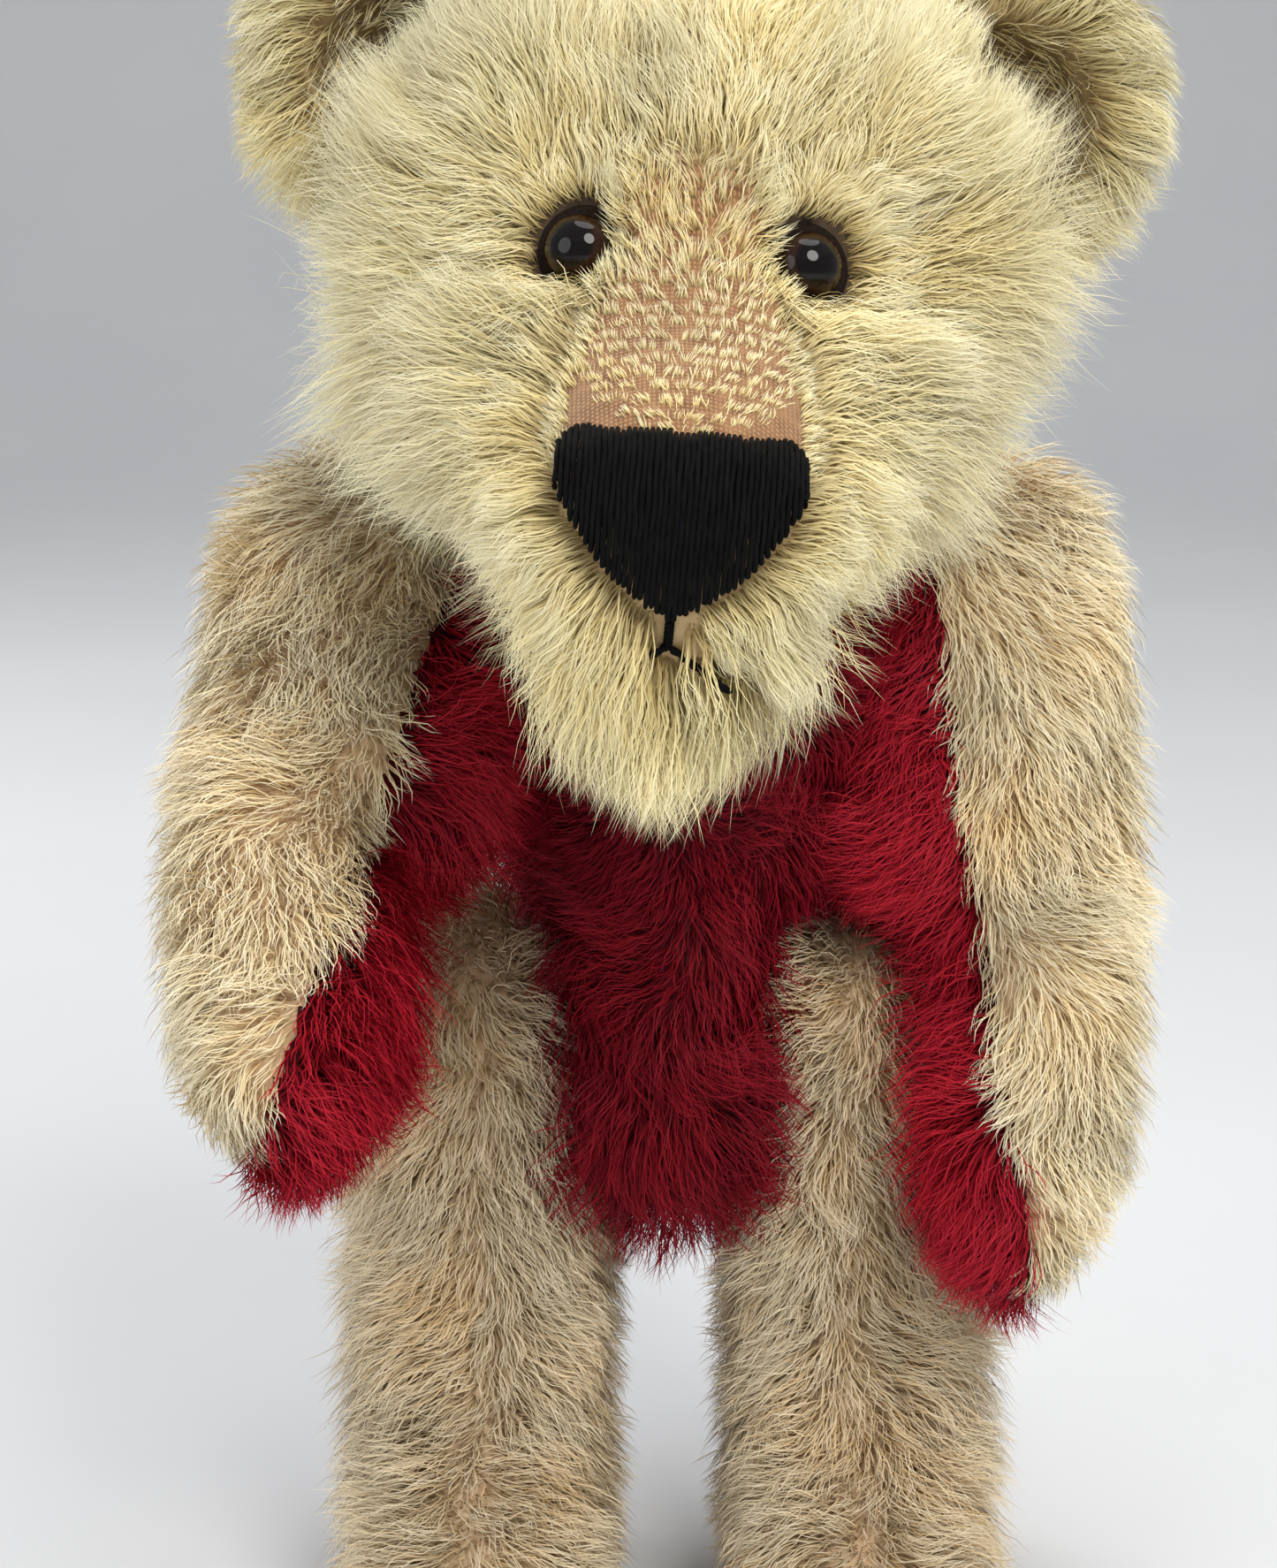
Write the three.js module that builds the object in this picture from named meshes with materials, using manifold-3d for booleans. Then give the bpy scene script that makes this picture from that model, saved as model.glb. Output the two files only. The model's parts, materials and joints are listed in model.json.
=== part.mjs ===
// A standing, five-way disc-jointed teddy bear. Millimetres, +Z up, the bear faces -Y, its left is +X.
import * as THREE from 'three';
import * as BufferGeometryUtils from 'three/addons/utils/BufferGeometryUtils.js';
import Module from 'manifold-3d';

const wasm = await Module();
wasm.setup();

// ---- driving dimensions -------------------------------------------------------------------------------------
const SKIN = 2; // thickness of a sewn mohair panel
const GAP = 0.3; // clearance between pieces that touch
const ROUND = 14; // sides of a soft section
const FAR = 400; // half size of a cutting block

const HIP = { x: 21.5, z: 132 }; // flat side of the torso at the hips, height of the axis
const SHOULDER = { x: 43, z: 238 };
const NECK = { y: -10, z: 264, bow: THREE.MathUtils.degToRad(18), roll: THREE.MathUtils.degToRad(4.4) };
const SIDE_GAP = 0.5; // between a limb's flat inner face and the torso
const SIDE_SEAM_Y = 5; // plane between the torso's front and back panels
const RIGHT_ARM_FORWARD = THREE.MathUtils.degToRad(45);
const LEFT_ARM_FORWARD = THREE.MathUtils.degToRad(8);

const DISC = { limb: 14.5, neck: 16.5, thick: 3, hole: 2.9 };
const WASHER = { radius: 8, thick: 1 };
const BOLT = { radius: 2.5, head: 5, headHeight: 3.5, sides: 10 };
const NUT = { radius: 5, height: 4 };
const BOLT_END = 1.6; // how far the bolt stands out of its nut
const POCKET = 0.8; // room round the hardware in the stuffing

const SOLE = 2; // thickness of the foot pad
const INSOLE = 2; // thickness of the board inside the foot

const EAR = { x: 62, forward: -14, up: 85, wide: 30, tall: 28, deep: 10 };
const EYE = { x: 23.4, forward: 58, up: 74, radius: 7, sink: 3, felt: 9, feltThick: 1, shank: 1.2, shankLong: 7 };
const EYE_AXIS = new THREE.Vector3(0.35, -0.75, 0.55).normalize();
const THREAD = 2.4; // how far the nose embroidery stands out

// ---- materials ----------------------------------------------------------------------------------------------
const finish = (color, roughness, metalness = 0) => () =>
  new THREE.MeshStandardMaterial({ color, roughness, metalness });
const blondMohair = finish(0xe9dcab, 0.9);
const creamMohair = finish(0xe8d3ab, 0.9);
const redMohair = finish(0xa5152c, 0.9);
const clippedCloth = finish(0xc98f62, 0.95);
const stuffing = finish(0xf2efe6, 1);
const hardboard = finish(0x8a6036, 0.8);
const board = finish(0xb79b72, 0.85);
const zinc = finish(0xb9bcc0, 0.35, 0.9);
const soleSuede = finish(0xd9b98c, 0.95);
const blackThread = finish(0x0c0c0e, 0.6);
const blackFelt = finish(0x17120f, 1);
const eyeGlass = finish(0x1a0d06, 0.08);

// ---- soft shapes --------------------------------------------------------------------------------------------
// A station is [place along the loft, centre u, centre v, half size u, half size v]. The cylinder's own y is the
// way along the loft, and its x and z become u and v of a superellipse.
const SQUARENESS = 2.5;

function bend(value, exponent) {
  return Math.sign(value) * Math.abs(value) ** (2 / exponent);
}

function loft(stations, place, inset = 0, exponent = SQUARENESS) {
  const rings = stations.length - 1;
  const geometry = new THREE.CylinderGeometry(1, 1, rings, ROUND, rings);
  const first = stations[0][0];
  const last = stations[rings][0];
  const middle = (first + last) / 2;
  const shorter = 1 - (2 * inset) / Math.abs(last - first);
  const points = geometry.attributes.position;
  for (let i = 0; i < points.count; i += 1) {
    const [at, u, v, a, b] = stations[Math.round(points.getY(i) + rings / 2)];
    const along = middle + (at - middle) * shorter;
    const du = bend(points.getX(i), exponent) * Math.max(a - inset, 0.5);
    const dv = bend(points.getZ(i), exponent) * Math.max(b - inset, 0.5);
    points.setXYZ(i, ...place(along, u + du, v + dv));
  }
  return solid(geometry);
}

const upright = (along, u, v) => [u, -v, along]; // a loft that rises, its v forward
const forwards = (along, u, v) => [-u, -along, v]; // a loft that runs forward, its v up

// ---- solids -------------------------------------------------------------------------------------------------
function solid(geometry, matrix = new THREE.Matrix4()) {
  const bare = geometry.clone();
  bare.deleteAttribute('normal');
  bare.deleteAttribute('uv');
  bare.applyMatrix4(matrix);
  const merged = BufferGeometryUtils.mergeVertices(bare, 1e-4);
  const numbers = { vertProperties: merged.attributes.position.array, triVerts: merged.index.array };
  return new wasm.Manifold(new wasm.Mesh({ numProp: 3, ...numbers }));
}

function geometryOf(manifold) {
  const { vertProperties, triVerts } = manifold.getMesh();
  const geometry = new THREE.BufferGeometry();
  geometry.setAttribute('position', new THREE.BufferAttribute(vertProperties, 3));
  geometry.setIndex(new THREE.BufferAttribute(triVerts, 1));
  return geometry;
}

function turnTo(direction, point = new THREE.Vector3()) {
  const turn = new THREE.Quaternion().setFromUnitVectors(new THREE.Vector3(0, 1, 0), direction);
  return new THREE.Matrix4().compose(point, turn, new THREE.Vector3(1, 1, 1));
}

// A cylinder whose base is at `point` and which rises along `direction`.
function rod(radius, length, direction, point, sides = 14) {
  const geometry = new THREE.CylinderGeometry(radius, radius, length, sides).translate(0, length / 2, 0);
  return solid(geometry, turnTo(direction, point));
}

// Everything on the side of `point` that `direction` points to.
function halfSpace(direction, point) {
  const block = new THREE.BoxGeometry(2 * FAR, 2 * FAR, 2 * FAR).translate(0, FAR, 0);
  return solid(block, turnTo(direction, point));
}

function ellipsoid(x, y, z, centre) {
  const ball = new THREE.SphereGeometry(1, 14, 10);
  return solid(ball, new THREE.Matrix4().makeScale(x, y, z).setPosition(centre));
}

const X = new THREE.Vector3(1, 0, 0);
const Y = new THREE.Vector3(0, 1, 0);
const Z = new THREE.Vector3(0, 0, 1);
const RIGHT = new THREE.Vector3(-1, 0, 0); // the bear's right, X being its left
const at = (x, y, z) => new THREE.Vector3(x, y, z);

function addMesh(group, name, shape, material) {
  const geometry = shape.isBufferGeometry ? shape : geometryOf(shape);
  const mesh = new THREE.Mesh(geometry, material());
  mesh.name = name;
  group.add(mesh);
  return mesh;
}

// ---- a disc joint -------------------------------------------------------------------------------------------
// Measured from the mating plane: the limb's pieces lie along +axis from `limbFace`, the body's pieces along
// -axis from `bodyFace`. Both faces are the outer faces of the two skins.
function stack(limbFace, bodyFace) {
  const limbDisc = limbFace + SKIN + GAP;
  const limbWasher = limbDisc + DISC.thick + GAP;
  const boltHead = limbWasher + WASHER.thick + GAP;
  const bodyDisc = bodyFace - SKIN - GAP - DISC.thick;
  const bodyWasher = bodyDisc - GAP - WASHER.thick;
  const nut = bodyWasher - GAP - NUT.height;
  return { limbDisc, limbWasher, boltHead, bodyDisc, bodyWasher, nut, boltEnd: nut - BOLT_END };
}

function ring(radius, thick, from, sides) {
  const outline = [
    [DISC.hole, 0],
    [radius, 0],
    [radius, thick],
    [DISC.hole, thick],
    [DISC.hole, 0],
  ].map(([r, h]) => new THREE.Vector2(r, h + from));
  return new THREE.LatheGeometry(outline, sides);
}

function bolt(places) {
  const shank = rod(BOLT.radius, places.boltHead - places.boltEnd, Y, at(0, places.boltEnd, 0), BOLT.sides);
  return shank.add(rod(BOLT.head, BOLT.headHeight, Y, at(0, places.boltHead, 0), 6));
}

function lockNut(places) {
  const body = rod(NUT.radius, NUT.height, Y, at(0, places.nut, 0), 6);
  return body.subtract(rod(DISC.hole, NUT.height + 2, Y, at(0, places.nut - 1, 0), BOLT.sides));
}

// The six pieces of one joint, in a group whose own +Y is the joint's axis, pointing into the limb.
function discJoint(name, discRadius, limbFace, bodyFace) {
  const places = stack(limbFace, bodyFace);
  const group = new THREE.Group();
  addMesh(group, `${name}_limb_disc`, ring(discRadius, DISC.thick, places.limbDisc, 14), hardboard);
  addMesh(group, `${name}_limb_washer`, ring(WASHER.radius, WASHER.thick, places.limbWasher, 10), zinc);
  addMesh(group, `${name}_bolt`, bolt(places), zinc);
  addMesh(group, `${name}_body_disc`, ring(discRadius, DISC.thick, places.bodyDisc, 14), hardboard);
  addMesh(group, `${name}_body_washer`, ring(WASHER.radius, WASHER.thick, places.bodyWasher, 10), zinc);
  addMesh(group, `${name}_lock_nut`, lockNut(places), zinc);
  return group;
}

// Room in the stuffing for one side of a joint: open towards the skin, along `axis` from `origin`.
function limbPocket(discRadius, limbFace, bodyFace, axis, origin) {
  const places = stack(limbFace, bodyFace);
  const point = (d) => origin.clone().addScaledVector(axis, d);
  const discEnd = places.limbWasher - limbFace;
  const headEnd = places.boltHead + BOLT.headHeight + GAP - limbFace;
  const wide = rod(discRadius + POCKET, discEnd, axis, point(limbFace));
  return wide.add(rod(WASHER.radius + POCKET, headEnd, axis, point(limbFace)));
}

function bodyPocket(discRadius, limbFace, bodyFace, axis, origin) {
  const places = stack(limbFace, bodyFace);
  const point = (d) => origin.clone().addScaledVector(axis, d);
  const discStart = places.bodyDisc - GAP;
  const endStart = places.boltEnd - GAP;
  const wide = rod(discRadius + POCKET, bodyFace - discStart, axis, point(discStart));
  return wide.add(rod(WASHER.radius + POCKET, bodyFace - endStart, axis, point(endStart)));
}

function boltHole(axis, origin, from, to) {
  return rod(DISC.hole, to - from, axis, origin.clone().addScaledVector(axis, from), BOLT.sides);
}

// ---- torso --------------------------------------------------------------------------------------------------
// height, sideways centre, forward centre, half width, half depth
const TORSO = [
  [97, 0, 3, 8, 10],
  [100.5, 0, 3, 15.5, 24],
  [110, 0, 3, 22.5, 36],
  [132, 0, 4, 24, 42],
  [168, 0, 4, 24, 42],
  [180, 0, 3, 31, 41],
  [196, 0, 3, 39, 39],
  [214, 0, 4, 47, 37.5],
  [232, 0, 5, 52, 36],
  [252, 0, 8, 51, 33.5],
  [264, 0, 11, 42, 31],
  [280, 0, 14, 35, 27],
];
const HIP_FLAT_TOP = 168; // up to here the torso's sides are flat, so that the thighs swing past them

const neckTurn = new THREE.Euler(NECK.bow, NECK.roll, 0, 'YXZ');
const neckAxis = Z.clone().applyEuler(neckTurn);
const neckPoint = at(0, NECK.y, NECK.z);
const hipPoint = at(0, 0, HIP.z);
const shoulderPoint = at(0, 0, SHOULDER.z);

function torsoSolid(inset) {
  let body = loft(TORSO, upright, inset);
  const top = neckPoint.clone().addScaledVector(neckAxis, -GAP - inset);
  body = body.subtract(halfSpace(neckAxis, top));
  for (const side of [X, RIGHT]) {
    const hip = side.clone().multiplyScalar(HIP.x - inset);
    const shoulder = side.clone().multiplyScalar(SHOULDER.x - inset);
    const belowWaist = halfSpace(Z.clone().negate(), at(0, 0, HIP_FLAT_TOP));
    body = body.subtract(halfSpace(side, hip).intersect(belowWaist));
    body = body.subtract(halfSpace(side, shoulder));
  }
  return body;
}

function torso() {
  const group = new THREE.Group();
  let shell = torsoSolid(0).subtract(torsoSolid(SKIN));
  let core = torsoSolid(SKIN + GAP);
  for (const side of [X, RIGHT]) {
    for (const [point, face] of [[hipPoint, HIP.x], [shoulderPoint, SHOULDER.x]]) {
      shell = shell.subtract(boltHole(side, point, face - SKIN - 3, face + 3));
      core = core.subtract(bodyPocket(DISC.limb, face + SIDE_GAP, face, side, point));
    }
  }
  shell = shell.subtract(boltHole(neckAxis, neckPoint, -SKIN - 3, 3));
  core = core.subtract(bodyPocket(DISC.neck, GAP, -GAP, neckAxis, neckPoint));
  const behind = halfSpace(Y, at(0, SIDE_SEAM_Y - GAP / 2, 0));
  const before = halfSpace(Y.clone().negate(), at(0, SIDE_SEAM_Y + GAP / 2, 0));
  addMesh(group, 'torso_front', shell.subtract(behind), redMohair);
  addMesh(group, 'torso_back', shell.subtract(before), creamMohair);
  addMesh(group, 'torso_stuffing', core, stuffing);
  return group;
}

// ---- arm ----------------------------------------------------------------------------------------------------
// height over the shoulder, forward centre, half depth, inner face, outer face; the arm hangs straight down
const ARM = [
  [-158, 24, 5, 75, 81],
  [-152, 24, 12, 71, 86],
  [-139, 22, 19, 67, 93],
  [-118, 18, 23.5, 65, 98],
  [-96, 14, 24.5, 65, 100],
  [-73, 9, 25, 65, 100.5],
  [-57, 5, 26, 42, 100.5],
  [-30, 1, 26.5, 38, 100],
  [-3, 0, 27, 38, 98],
  [16, 0, 21.8, 38, 92.5],
  [26, 0, 7.5, 50, 80],
];
// the seams: where they start at the shoulder, how much they lean out for each millimetre down, and how much
// they turn in for each millimetre forward
const LEFT_ARM_SEAM = { x: 59, lean: 0.14, turn: 0 };
const RIGHT_ARM_SEAM = { x: 50, lean: 0.25, turn: 0.25 };

function armSolid(inset) {
  const stations = ARM.map(([h, v, b, inner, outer]) => [h, (inner + outer) / 2, v, (outer - inner) / 2, b]);
  const body = loft(stations, upright, inset);
  return body.subtract(halfSpace(RIGHT, at(SHOULDER.x + SIDE_GAP + inset, 0, 0)));
}

// An arm hanging from a shoulder axis at the origin, made as a left arm and mirrored for the right.
function arm(side, seam) {
  const mirror = new THREE.Matrix4().makeScale(side, 1, 1);
  const face = SHOULDER.x + SIDE_GAP;
  let shell = armSolid(0).subtract(armSolid(SKIN));
  shell = shell.subtract(boltHole(X, at(0, 0, 0), face - 3, face + SKIN + 3));
  const pocket = limbPocket(DISC.limb, face, SHOULDER.x, X, at(0, 0, 0));
  const core = armSolid(SKIN + GAP).subtract(pocket);
  const out = at(1, -seam.turn, seam.lean).normalize();
  const outside = halfSpace(out, at(seam.x - GAP / 2, 0, 0));
  const inside = halfSpace(out.clone().negate(), at(seam.x + GAP / 2, 0, 0));
  return [
    ['outer', shell.subtract(inside), creamMohair],
    ['inner', shell.subtract(outside), redMohair],
    ['stuffing', core, stuffing],
  ].map(([piece, shape, material]) => [piece, mirrored(shape, mirror), material]);
}

// A mirror image of a solid, with its faces still pointing out.
function mirrored(shape, mirror) {
  if (mirror.determinant() > 0) {
    return shape;
  }
  const geometry = geometryOf(shape).applyMatrix4(mirror);
  const order = geometry.index.array;
  for (let i = 0; i < order.length; i += 3) {
    [order[i], order[i + 1]] = [order[i + 1], order[i]];
  }
  return solid(geometry);
}

function placedArm(name, side, forward, seam) {
  const group = new THREE.Group();
  for (const [piece, shape, material] of arm(side, seam)) {
    addMesh(group, `${name}_${piece}`, shape, material);
  }
  group.position.copy(shoulderPoint);
  group.rotation.x = -forward;
  return group;
}

// ---- leg ----------------------------------------------------------------------------------------------------
// height over the floor, forward centre, half depth, inner face, outer face
const LEG = [
  [2.3, 21, 40.5, 23, 60.5],
  [8, 21, 43.5, 21.5, 62.5],
  [22, 20, 42, 21, 62.5],
  [38, 13, 31.5, 21, 62.5],
  [58, 7, 25.5, 21, 62.5],
  [96, 2.5, 28.5, 18.5, 62.5],
  [130, 0, 30, 18.5, 62.3],
  [148, 0, 25.3, 18.5, 59],
  [158, 0, 15, 23, 51.5],
  [161.6, 0, 4.5, 31, 43],
];
const LEG_SEAM_X = 43;
const SOLE_TOP = SOLE + GAP;

const LEG_STATIONS = LEG.map(([h, v, b, inner, outer]) => [h, (inner + outer) / 2, v, (outer - inner) / 2, b]);

function legSolid(inset) {
  const body = loft(LEG_STATIONS, upright, inset);
  return body.subtract(halfSpace(RIGHT, at(HIP.x + SIDE_GAP + inset, 0, 0)));
}

// A flat plate with the foot's outline, from `bottom` to `top`.
function footPlate(inset, bottom, top) {
  const [, u, v, a, b] = LEG_STATIONS[0];
  const section = [u, v, a - inset, b - inset];
  const plate = loft([[bottom, ...section], [top, ...section]], upright);
  return plate.subtract(halfSpace(RIGHT, at(HIP.x + SIDE_GAP + inset, 0, 0)));
}

function leg(side) {
  const mirror = new THREE.Matrix4().makeScale(side, 1, 1);
  const face = HIP.x + SIDE_GAP;
  const hollow = legSolid(SKIN).add(footPlate(SKIN, 0, 3 * SKIN));
  let shell = legSolid(0).subtract(hollow);
  shell = shell.subtract(boltHole(X, hipPoint, face - 3, face + SKIN + 3));
  const pocket = limbPocket(DISC.limb, face, HIP.x, X, hipPoint);
  const boardTop = SOLE_TOP + INSOLE;
  let core = legSolid(SKIN + GAP).subtract(pocket);
  core = core.subtract(halfSpace(Z.clone().negate(), at(0, 0, boardTop + GAP)));
  const outside = halfSpace(X, at(LEG_SEAM_X - GAP / 2, 0, 0));
  const inside = halfSpace(RIGHT, at(LEG_SEAM_X + GAP / 2, 0, 0));
  return [
    ['outer', shell.subtract(inside), creamMohair],
    ['inner', shell.subtract(outside), creamMohair],
    ['stuffing', core, stuffing],
    ['sole_pad', footPlate(0.5, 0, SOLE), soleSuede],
    ['insole_board', footPlate(SKIN + GAP, SOLE_TOP, boardTop), board],
  ].map(([piece, shape, material]) => [piece, mirrored(shape, mirror), material]);
}

function placedLeg(name, side) {
  const group = new THREE.Group();
  for (const [piece, shape, material] of leg(side)) {
    addMesh(group, `${name}_${piece}`, shape, material);
  }
  return group;
}

// ---- head ---------------------------------------------------------------------------------------------------
// In the head's own frame the neck's mating plane is z = 0, and the face looks along -Y.
// place forward, sideways centre, height, half width, half height
const SKULL = [
  [-50, 0, 70, 9, 9],
  [-45, 0, 69.5, 28, 26],
  [-30, 0, 68, 46, 43],
  [-10, 0, 67, 55, 52],
  [12, 0, 66, 55.5, 52],
  [30, 0, 64, 50, 45],
  [45, 0, 58.5, 42, 35.5],
  [60, 0, 51.5, 35.5, 28],
  [80, 0, 46.5, 31.5, 24.5],
  [104, 0, 43.5, 28.5, 22.5],
  [118, 0, 41.5, 24, 20],
  [125.5, 0, 40.5, 12, 11],
];
const NAPE = [
  [0.3, 0, 0, 29, 29],
  [12, 0, 0, 36.5, 36],
  [40, 0, 2, 42, 40],
];
const HEAD_SQUARENESS = 2.15;
// the gusset's edge: place forward, half width
const GUSSET = [
  [-60, 18],
  [-40, 28],
  [-12, 35],
  [15, 30],
  [38, 20],
  [55, 15.5],
  [75, 19],
  [98, 22.5],
  [130, 23.5],
];
// side view of the region that holds the gusset: place forward, height
const GUSSET_SIDE = [
  [130, 56],
  [60, 52],
  [-20, 66],
  [-34, 6],
  [-80, 6],
  [-80, 140],
  [130, 140],
];
const NOSE = { top: 62.5, corner: 59, side: 49, bottom: 26.5, half: 24.5, topHalf: 19, from: 80 };
const MOUTH = { drop: 3, spread: 12, fall: 7, half: 0.7, thick: 1.2 };

function headSolid(inset) {
  const skull = loft(SKULL, forwards, inset, HEAD_SQUARENESS);
  const neck = loft(NAPE, upright, inset, 2);
  let head = skull.add(neck);
  for (const side of [1, -1]) {
    const axis = eyeAxis(side);
    const seat = eyeSeat(side).addScaledVector(axis, -inset);
    head = head.subtract(rod(EYE.felt + GAP + inset, 30, axis, seat));
  }
  return head;
}

function eyeAxis(side) {
  return at(side * EYE_AXIS.x, EYE_AXIS.y, EYE_AXIS.z);
}

function eyeSeat(side) {
  return at(side * EYE.x, -EYE.forward, EYE.up).addScaledVector(eyeAxis(side), -EYE.sink);
}

// A prism over a flat outline. `upAxis` sends the outline's x and y and the prism's height to the head's frame.
function prism(outline, height, basis) {
  const geometry = new THREE.ExtrudeGeometry(outline, { depth: height, bevelEnabled: false, curveSegments: 5 });
  return solid(geometry.translate(0, 0, -height / 2), basis);
}

const FROM_ABOVE = new THREE.Matrix4().makeBasis(at(0, -1, 0), at(1, 0, 0), at(0, 0, 1));
const FROM_SIDE = new THREE.Matrix4().makeBasis(at(0, -1, 0), at(0, 0, 1), at(-1, 0, 0));
const FROM_FRONT = new THREE.Matrix4().makeBasis(at(1, 0, 0), at(0, 0, 1), at(0, -1, 0));

function gussetRegion(margin) {
  const edge = GUSSET.map(([f, half]) => new THREE.Vector2(f, half + margin));
  const left = new THREE.SplineCurve(edge).getPoints(edge.length + 2);
  const right = left.map((p) => new THREE.Vector2(p.x, -p.y)).reverse();
  const plan = new THREE.Shape([...left, ...right]);
  const sideView = new THREE.Shape(GUSSET_SIDE.map(([f, up]) => new THREE.Vector2(f + margin / 2, up - margin)));
  return prism(plan, 2 * FAR, FROM_ABOVE).intersect(prism(sideView, 2 * FAR, FROM_SIDE));
}

function noseOutline() {
  const shape = new THREE.Shape();
  shape.moveTo(0, NOSE.bottom);
  shape.quadraticCurveTo(0.45 * NOSE.half, NOSE.bottom + 5, 0.96 * NOSE.half, NOSE.side);
  shape.quadraticCurveTo(1.04 * NOSE.half, NOSE.corner - 2, NOSE.topHalf, NOSE.corner);
  shape.quadraticCurveTo(0, 2 * NOSE.top - NOSE.corner, -NOSE.topHalf, NOSE.corner);
  shape.quadraticCurveTo(-1.04 * NOSE.half, NOSE.corner - 2, -0.96 * NOSE.half, NOSE.side);
  shape.quadraticCurveTo(-0.45 * NOSE.half, NOSE.bottom + 5, 0, NOSE.bottom);
  return shape;
}

// The mouth is an upside-down Y of stitches below the nose.
function mouthOutline() {
  const top = NOSE.bottom + 2;
  const fork = top - MOUTH.drop;
  const tip = fork - MOUTH.fall;
  const half = MOUTH.half;
  const points = [
    [half, top],
    [half, fork],
    [MOUTH.spread, tip + half],
    [MOUTH.spread - half, tip - half],
    [0, fork - 2 * half],
    [-MOUTH.spread + half, tip - half],
    [-MOUTH.spread, tip + half],
    [-half, fork],
    [-half, top],
  ];
  return new THREE.Shape(points.map(([x, y]) => new THREE.Vector2(x, y)));
}

function stitchedOn(outline, thick) {
  const raised = loft(SKULL, forwards, -GAP - thick, HEAD_SQUARENESS);
  const cover = raised.subtract(loft(SKULL, forwards, -GAP, HEAD_SQUARENESS));
  const front = prism(outline, 2 * FAR, FROM_FRONT.clone().setPosition(0, -NOSE.from - FAR, 0));
  return cover.intersect(front);
}

function eye(side) {
  const axis = eyeAxis(side);
  const base = EYE.feltThick + 2 * GAP;
  const profile = [new THREE.Vector2(0, -EYE.shankLong), new THREE.Vector2(EYE.shank, -EYE.shankLong)];
  profile.push(new THREE.Vector2(EYE.shank, base));
  for (let i = 0; i <= 4; i += 1) {
    const turn = (i / 4) * (Math.PI / 2);
    profile.push(new THREE.Vector2(EYE.radius * Math.cos(turn), base + 0.8 * EYE.radius * Math.sin(turn)));
  }
  profile[profile.length - 1].x = 0;
  return new THREE.LatheGeometry(profile, 12).applyMatrix4(turnTo(axis, eyeSeat(side)));
}

function eyeFelt(side) {
  const inner = EYE.shank + GAP;
  const outline = [[inner, GAP], [EYE.felt, GAP], [EYE.felt, GAP + EYE.feltThick], [inner, GAP + EYE.feltThick]];
  const closed = [...outline, outline[0]].map(([r, h]) => new THREE.Vector2(r, h));
  return new THREE.LatheGeometry(closed, 12).applyMatrix4(turnTo(eyeAxis(side), eyeSeat(side)));
}

// A cupped disc that stands out from the side of the head.
function ear(side, head) {
  const centre = at(side * EAR.x, -EAR.forward, EAR.up);
  const outer = ellipsoid(EAR.wide, EAR.deep, EAR.tall, centre);
  const cup = ellipsoid(EAR.wide - 6, EAR.deep, EAR.tall - 6, centre.clone().add(at(-3 * side, -7, -2)));
  return outer.subtract(cup).subtract(head);
}

function head() {
  const group = new THREE.Group();
  let shell = headSolid(0).subtract(headSolid(SKIN));
  let core = headSolid(SKIN + GAP);
  shell = shell.subtract(boltHole(Z, at(0, 0, 0), -3, SKIN + 4));
  core = core.subtract(limbPocket(DISC.neck, GAP, -GAP, Z, at(0, 0, 0)));
  for (const side of [1, -1]) {
    const shankEnd = eyeSeat(side).addScaledVector(eyeAxis(side), -EYE.shankLong - GAP);
    const shank = rod(EYE.shank + GAP, EYE.shankLong + 4, eyeAxis(side), shankEnd);
    shell = shell.subtract(shank);
    core = core.subtract(shank);
  }
  const gusset = gussetRegion(0);
  const sides = shell.subtract(gussetRegion(GAP));
  const earSeat = loft(SKULL, forwards, -GAP, HEAD_SQUARENESS);
  addMesh(group, 'head_gusset', shell.intersect(gusset), clippedCloth);
  addMesh(group, 'head_side_left', sides.subtract(halfSpace(RIGHT, at(GAP / 2, 0, 0))), blondMohair);
  addMesh(group, 'head_side_right', sides.subtract(halfSpace(X, at(-GAP / 2, 0, 0))), blondMohair);
  addMesh(group, 'head_stuffing', core, stuffing);
  for (const [name, side] of [['left', 1], ['right', -1]]) {
    addMesh(group, `ear_${name}`, ear(side, earSeat), blondMohair);
    addMesh(group, `eye_${name}`, eye(side), eyeGlass);
    addMesh(group, `eye_felt_${name}`, eyeFelt(side), blackFelt);
  }
  const stitches = stitchedOn(noseOutline(), THREAD).add(stitchedOn(mouthOutline(), MOUTH.thick));
  addMesh(group, 'nose_and_mouth_embroidery', stitches, blackThread);
  group.position.copy(neckPoint);
  group.rotation.copy(neckTurn);
  return group;
}

// ---- the bear -----------------------------------------------------------------------------------------------
function placedJoint(name, discRadius, limbFace, bodyFace, axis, origin) {
  const group = discJoint(name, discRadius, limbFace, bodyFace);
  group.applyMatrix4(turnTo(axis, origin));
  return group;
}

const bear = new THREE.Group();
bear.add(torso(), head());
bear.add(placedArm('arm_left', 1, LEFT_ARM_FORWARD, LEFT_ARM_SEAM));
bear.add(placedArm('arm_right', -1, RIGHT_ARM_FORWARD, RIGHT_ARM_SEAM));
bear.add(placedLeg('leg_left', 1), placedLeg('leg_right', -1));
bear.add(placedJoint('neck', DISC.neck, GAP, -GAP, neckAxis, neckPoint));
for (const [name, side] of [['left', X], ['right', RIGHT]]) {
  const shoulderFace = SHOULDER.x + SIDE_GAP;
  const hipFace = HIP.x + SIDE_GAP;
  bear.add(placedJoint(`shoulder_${name}`, DISC.limb, shoulderFace, SHOULDER.x, side, shoulderPoint));
  bear.add(placedJoint(`hip_${name}`, DISC.limb, hipFace, HIP.x, side, hipPoint));
}

// the origin is the middle of the bear's footprint box, on the floor
bear.updateMatrixWorld(true);
const box = new THREE.Box3().setFromObject(bear, true);
const centre = box.getCenter(new THREE.Vector3());
bear.position.set(-centre.x, -centre.y, -box.min.z);

export default bear;
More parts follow.
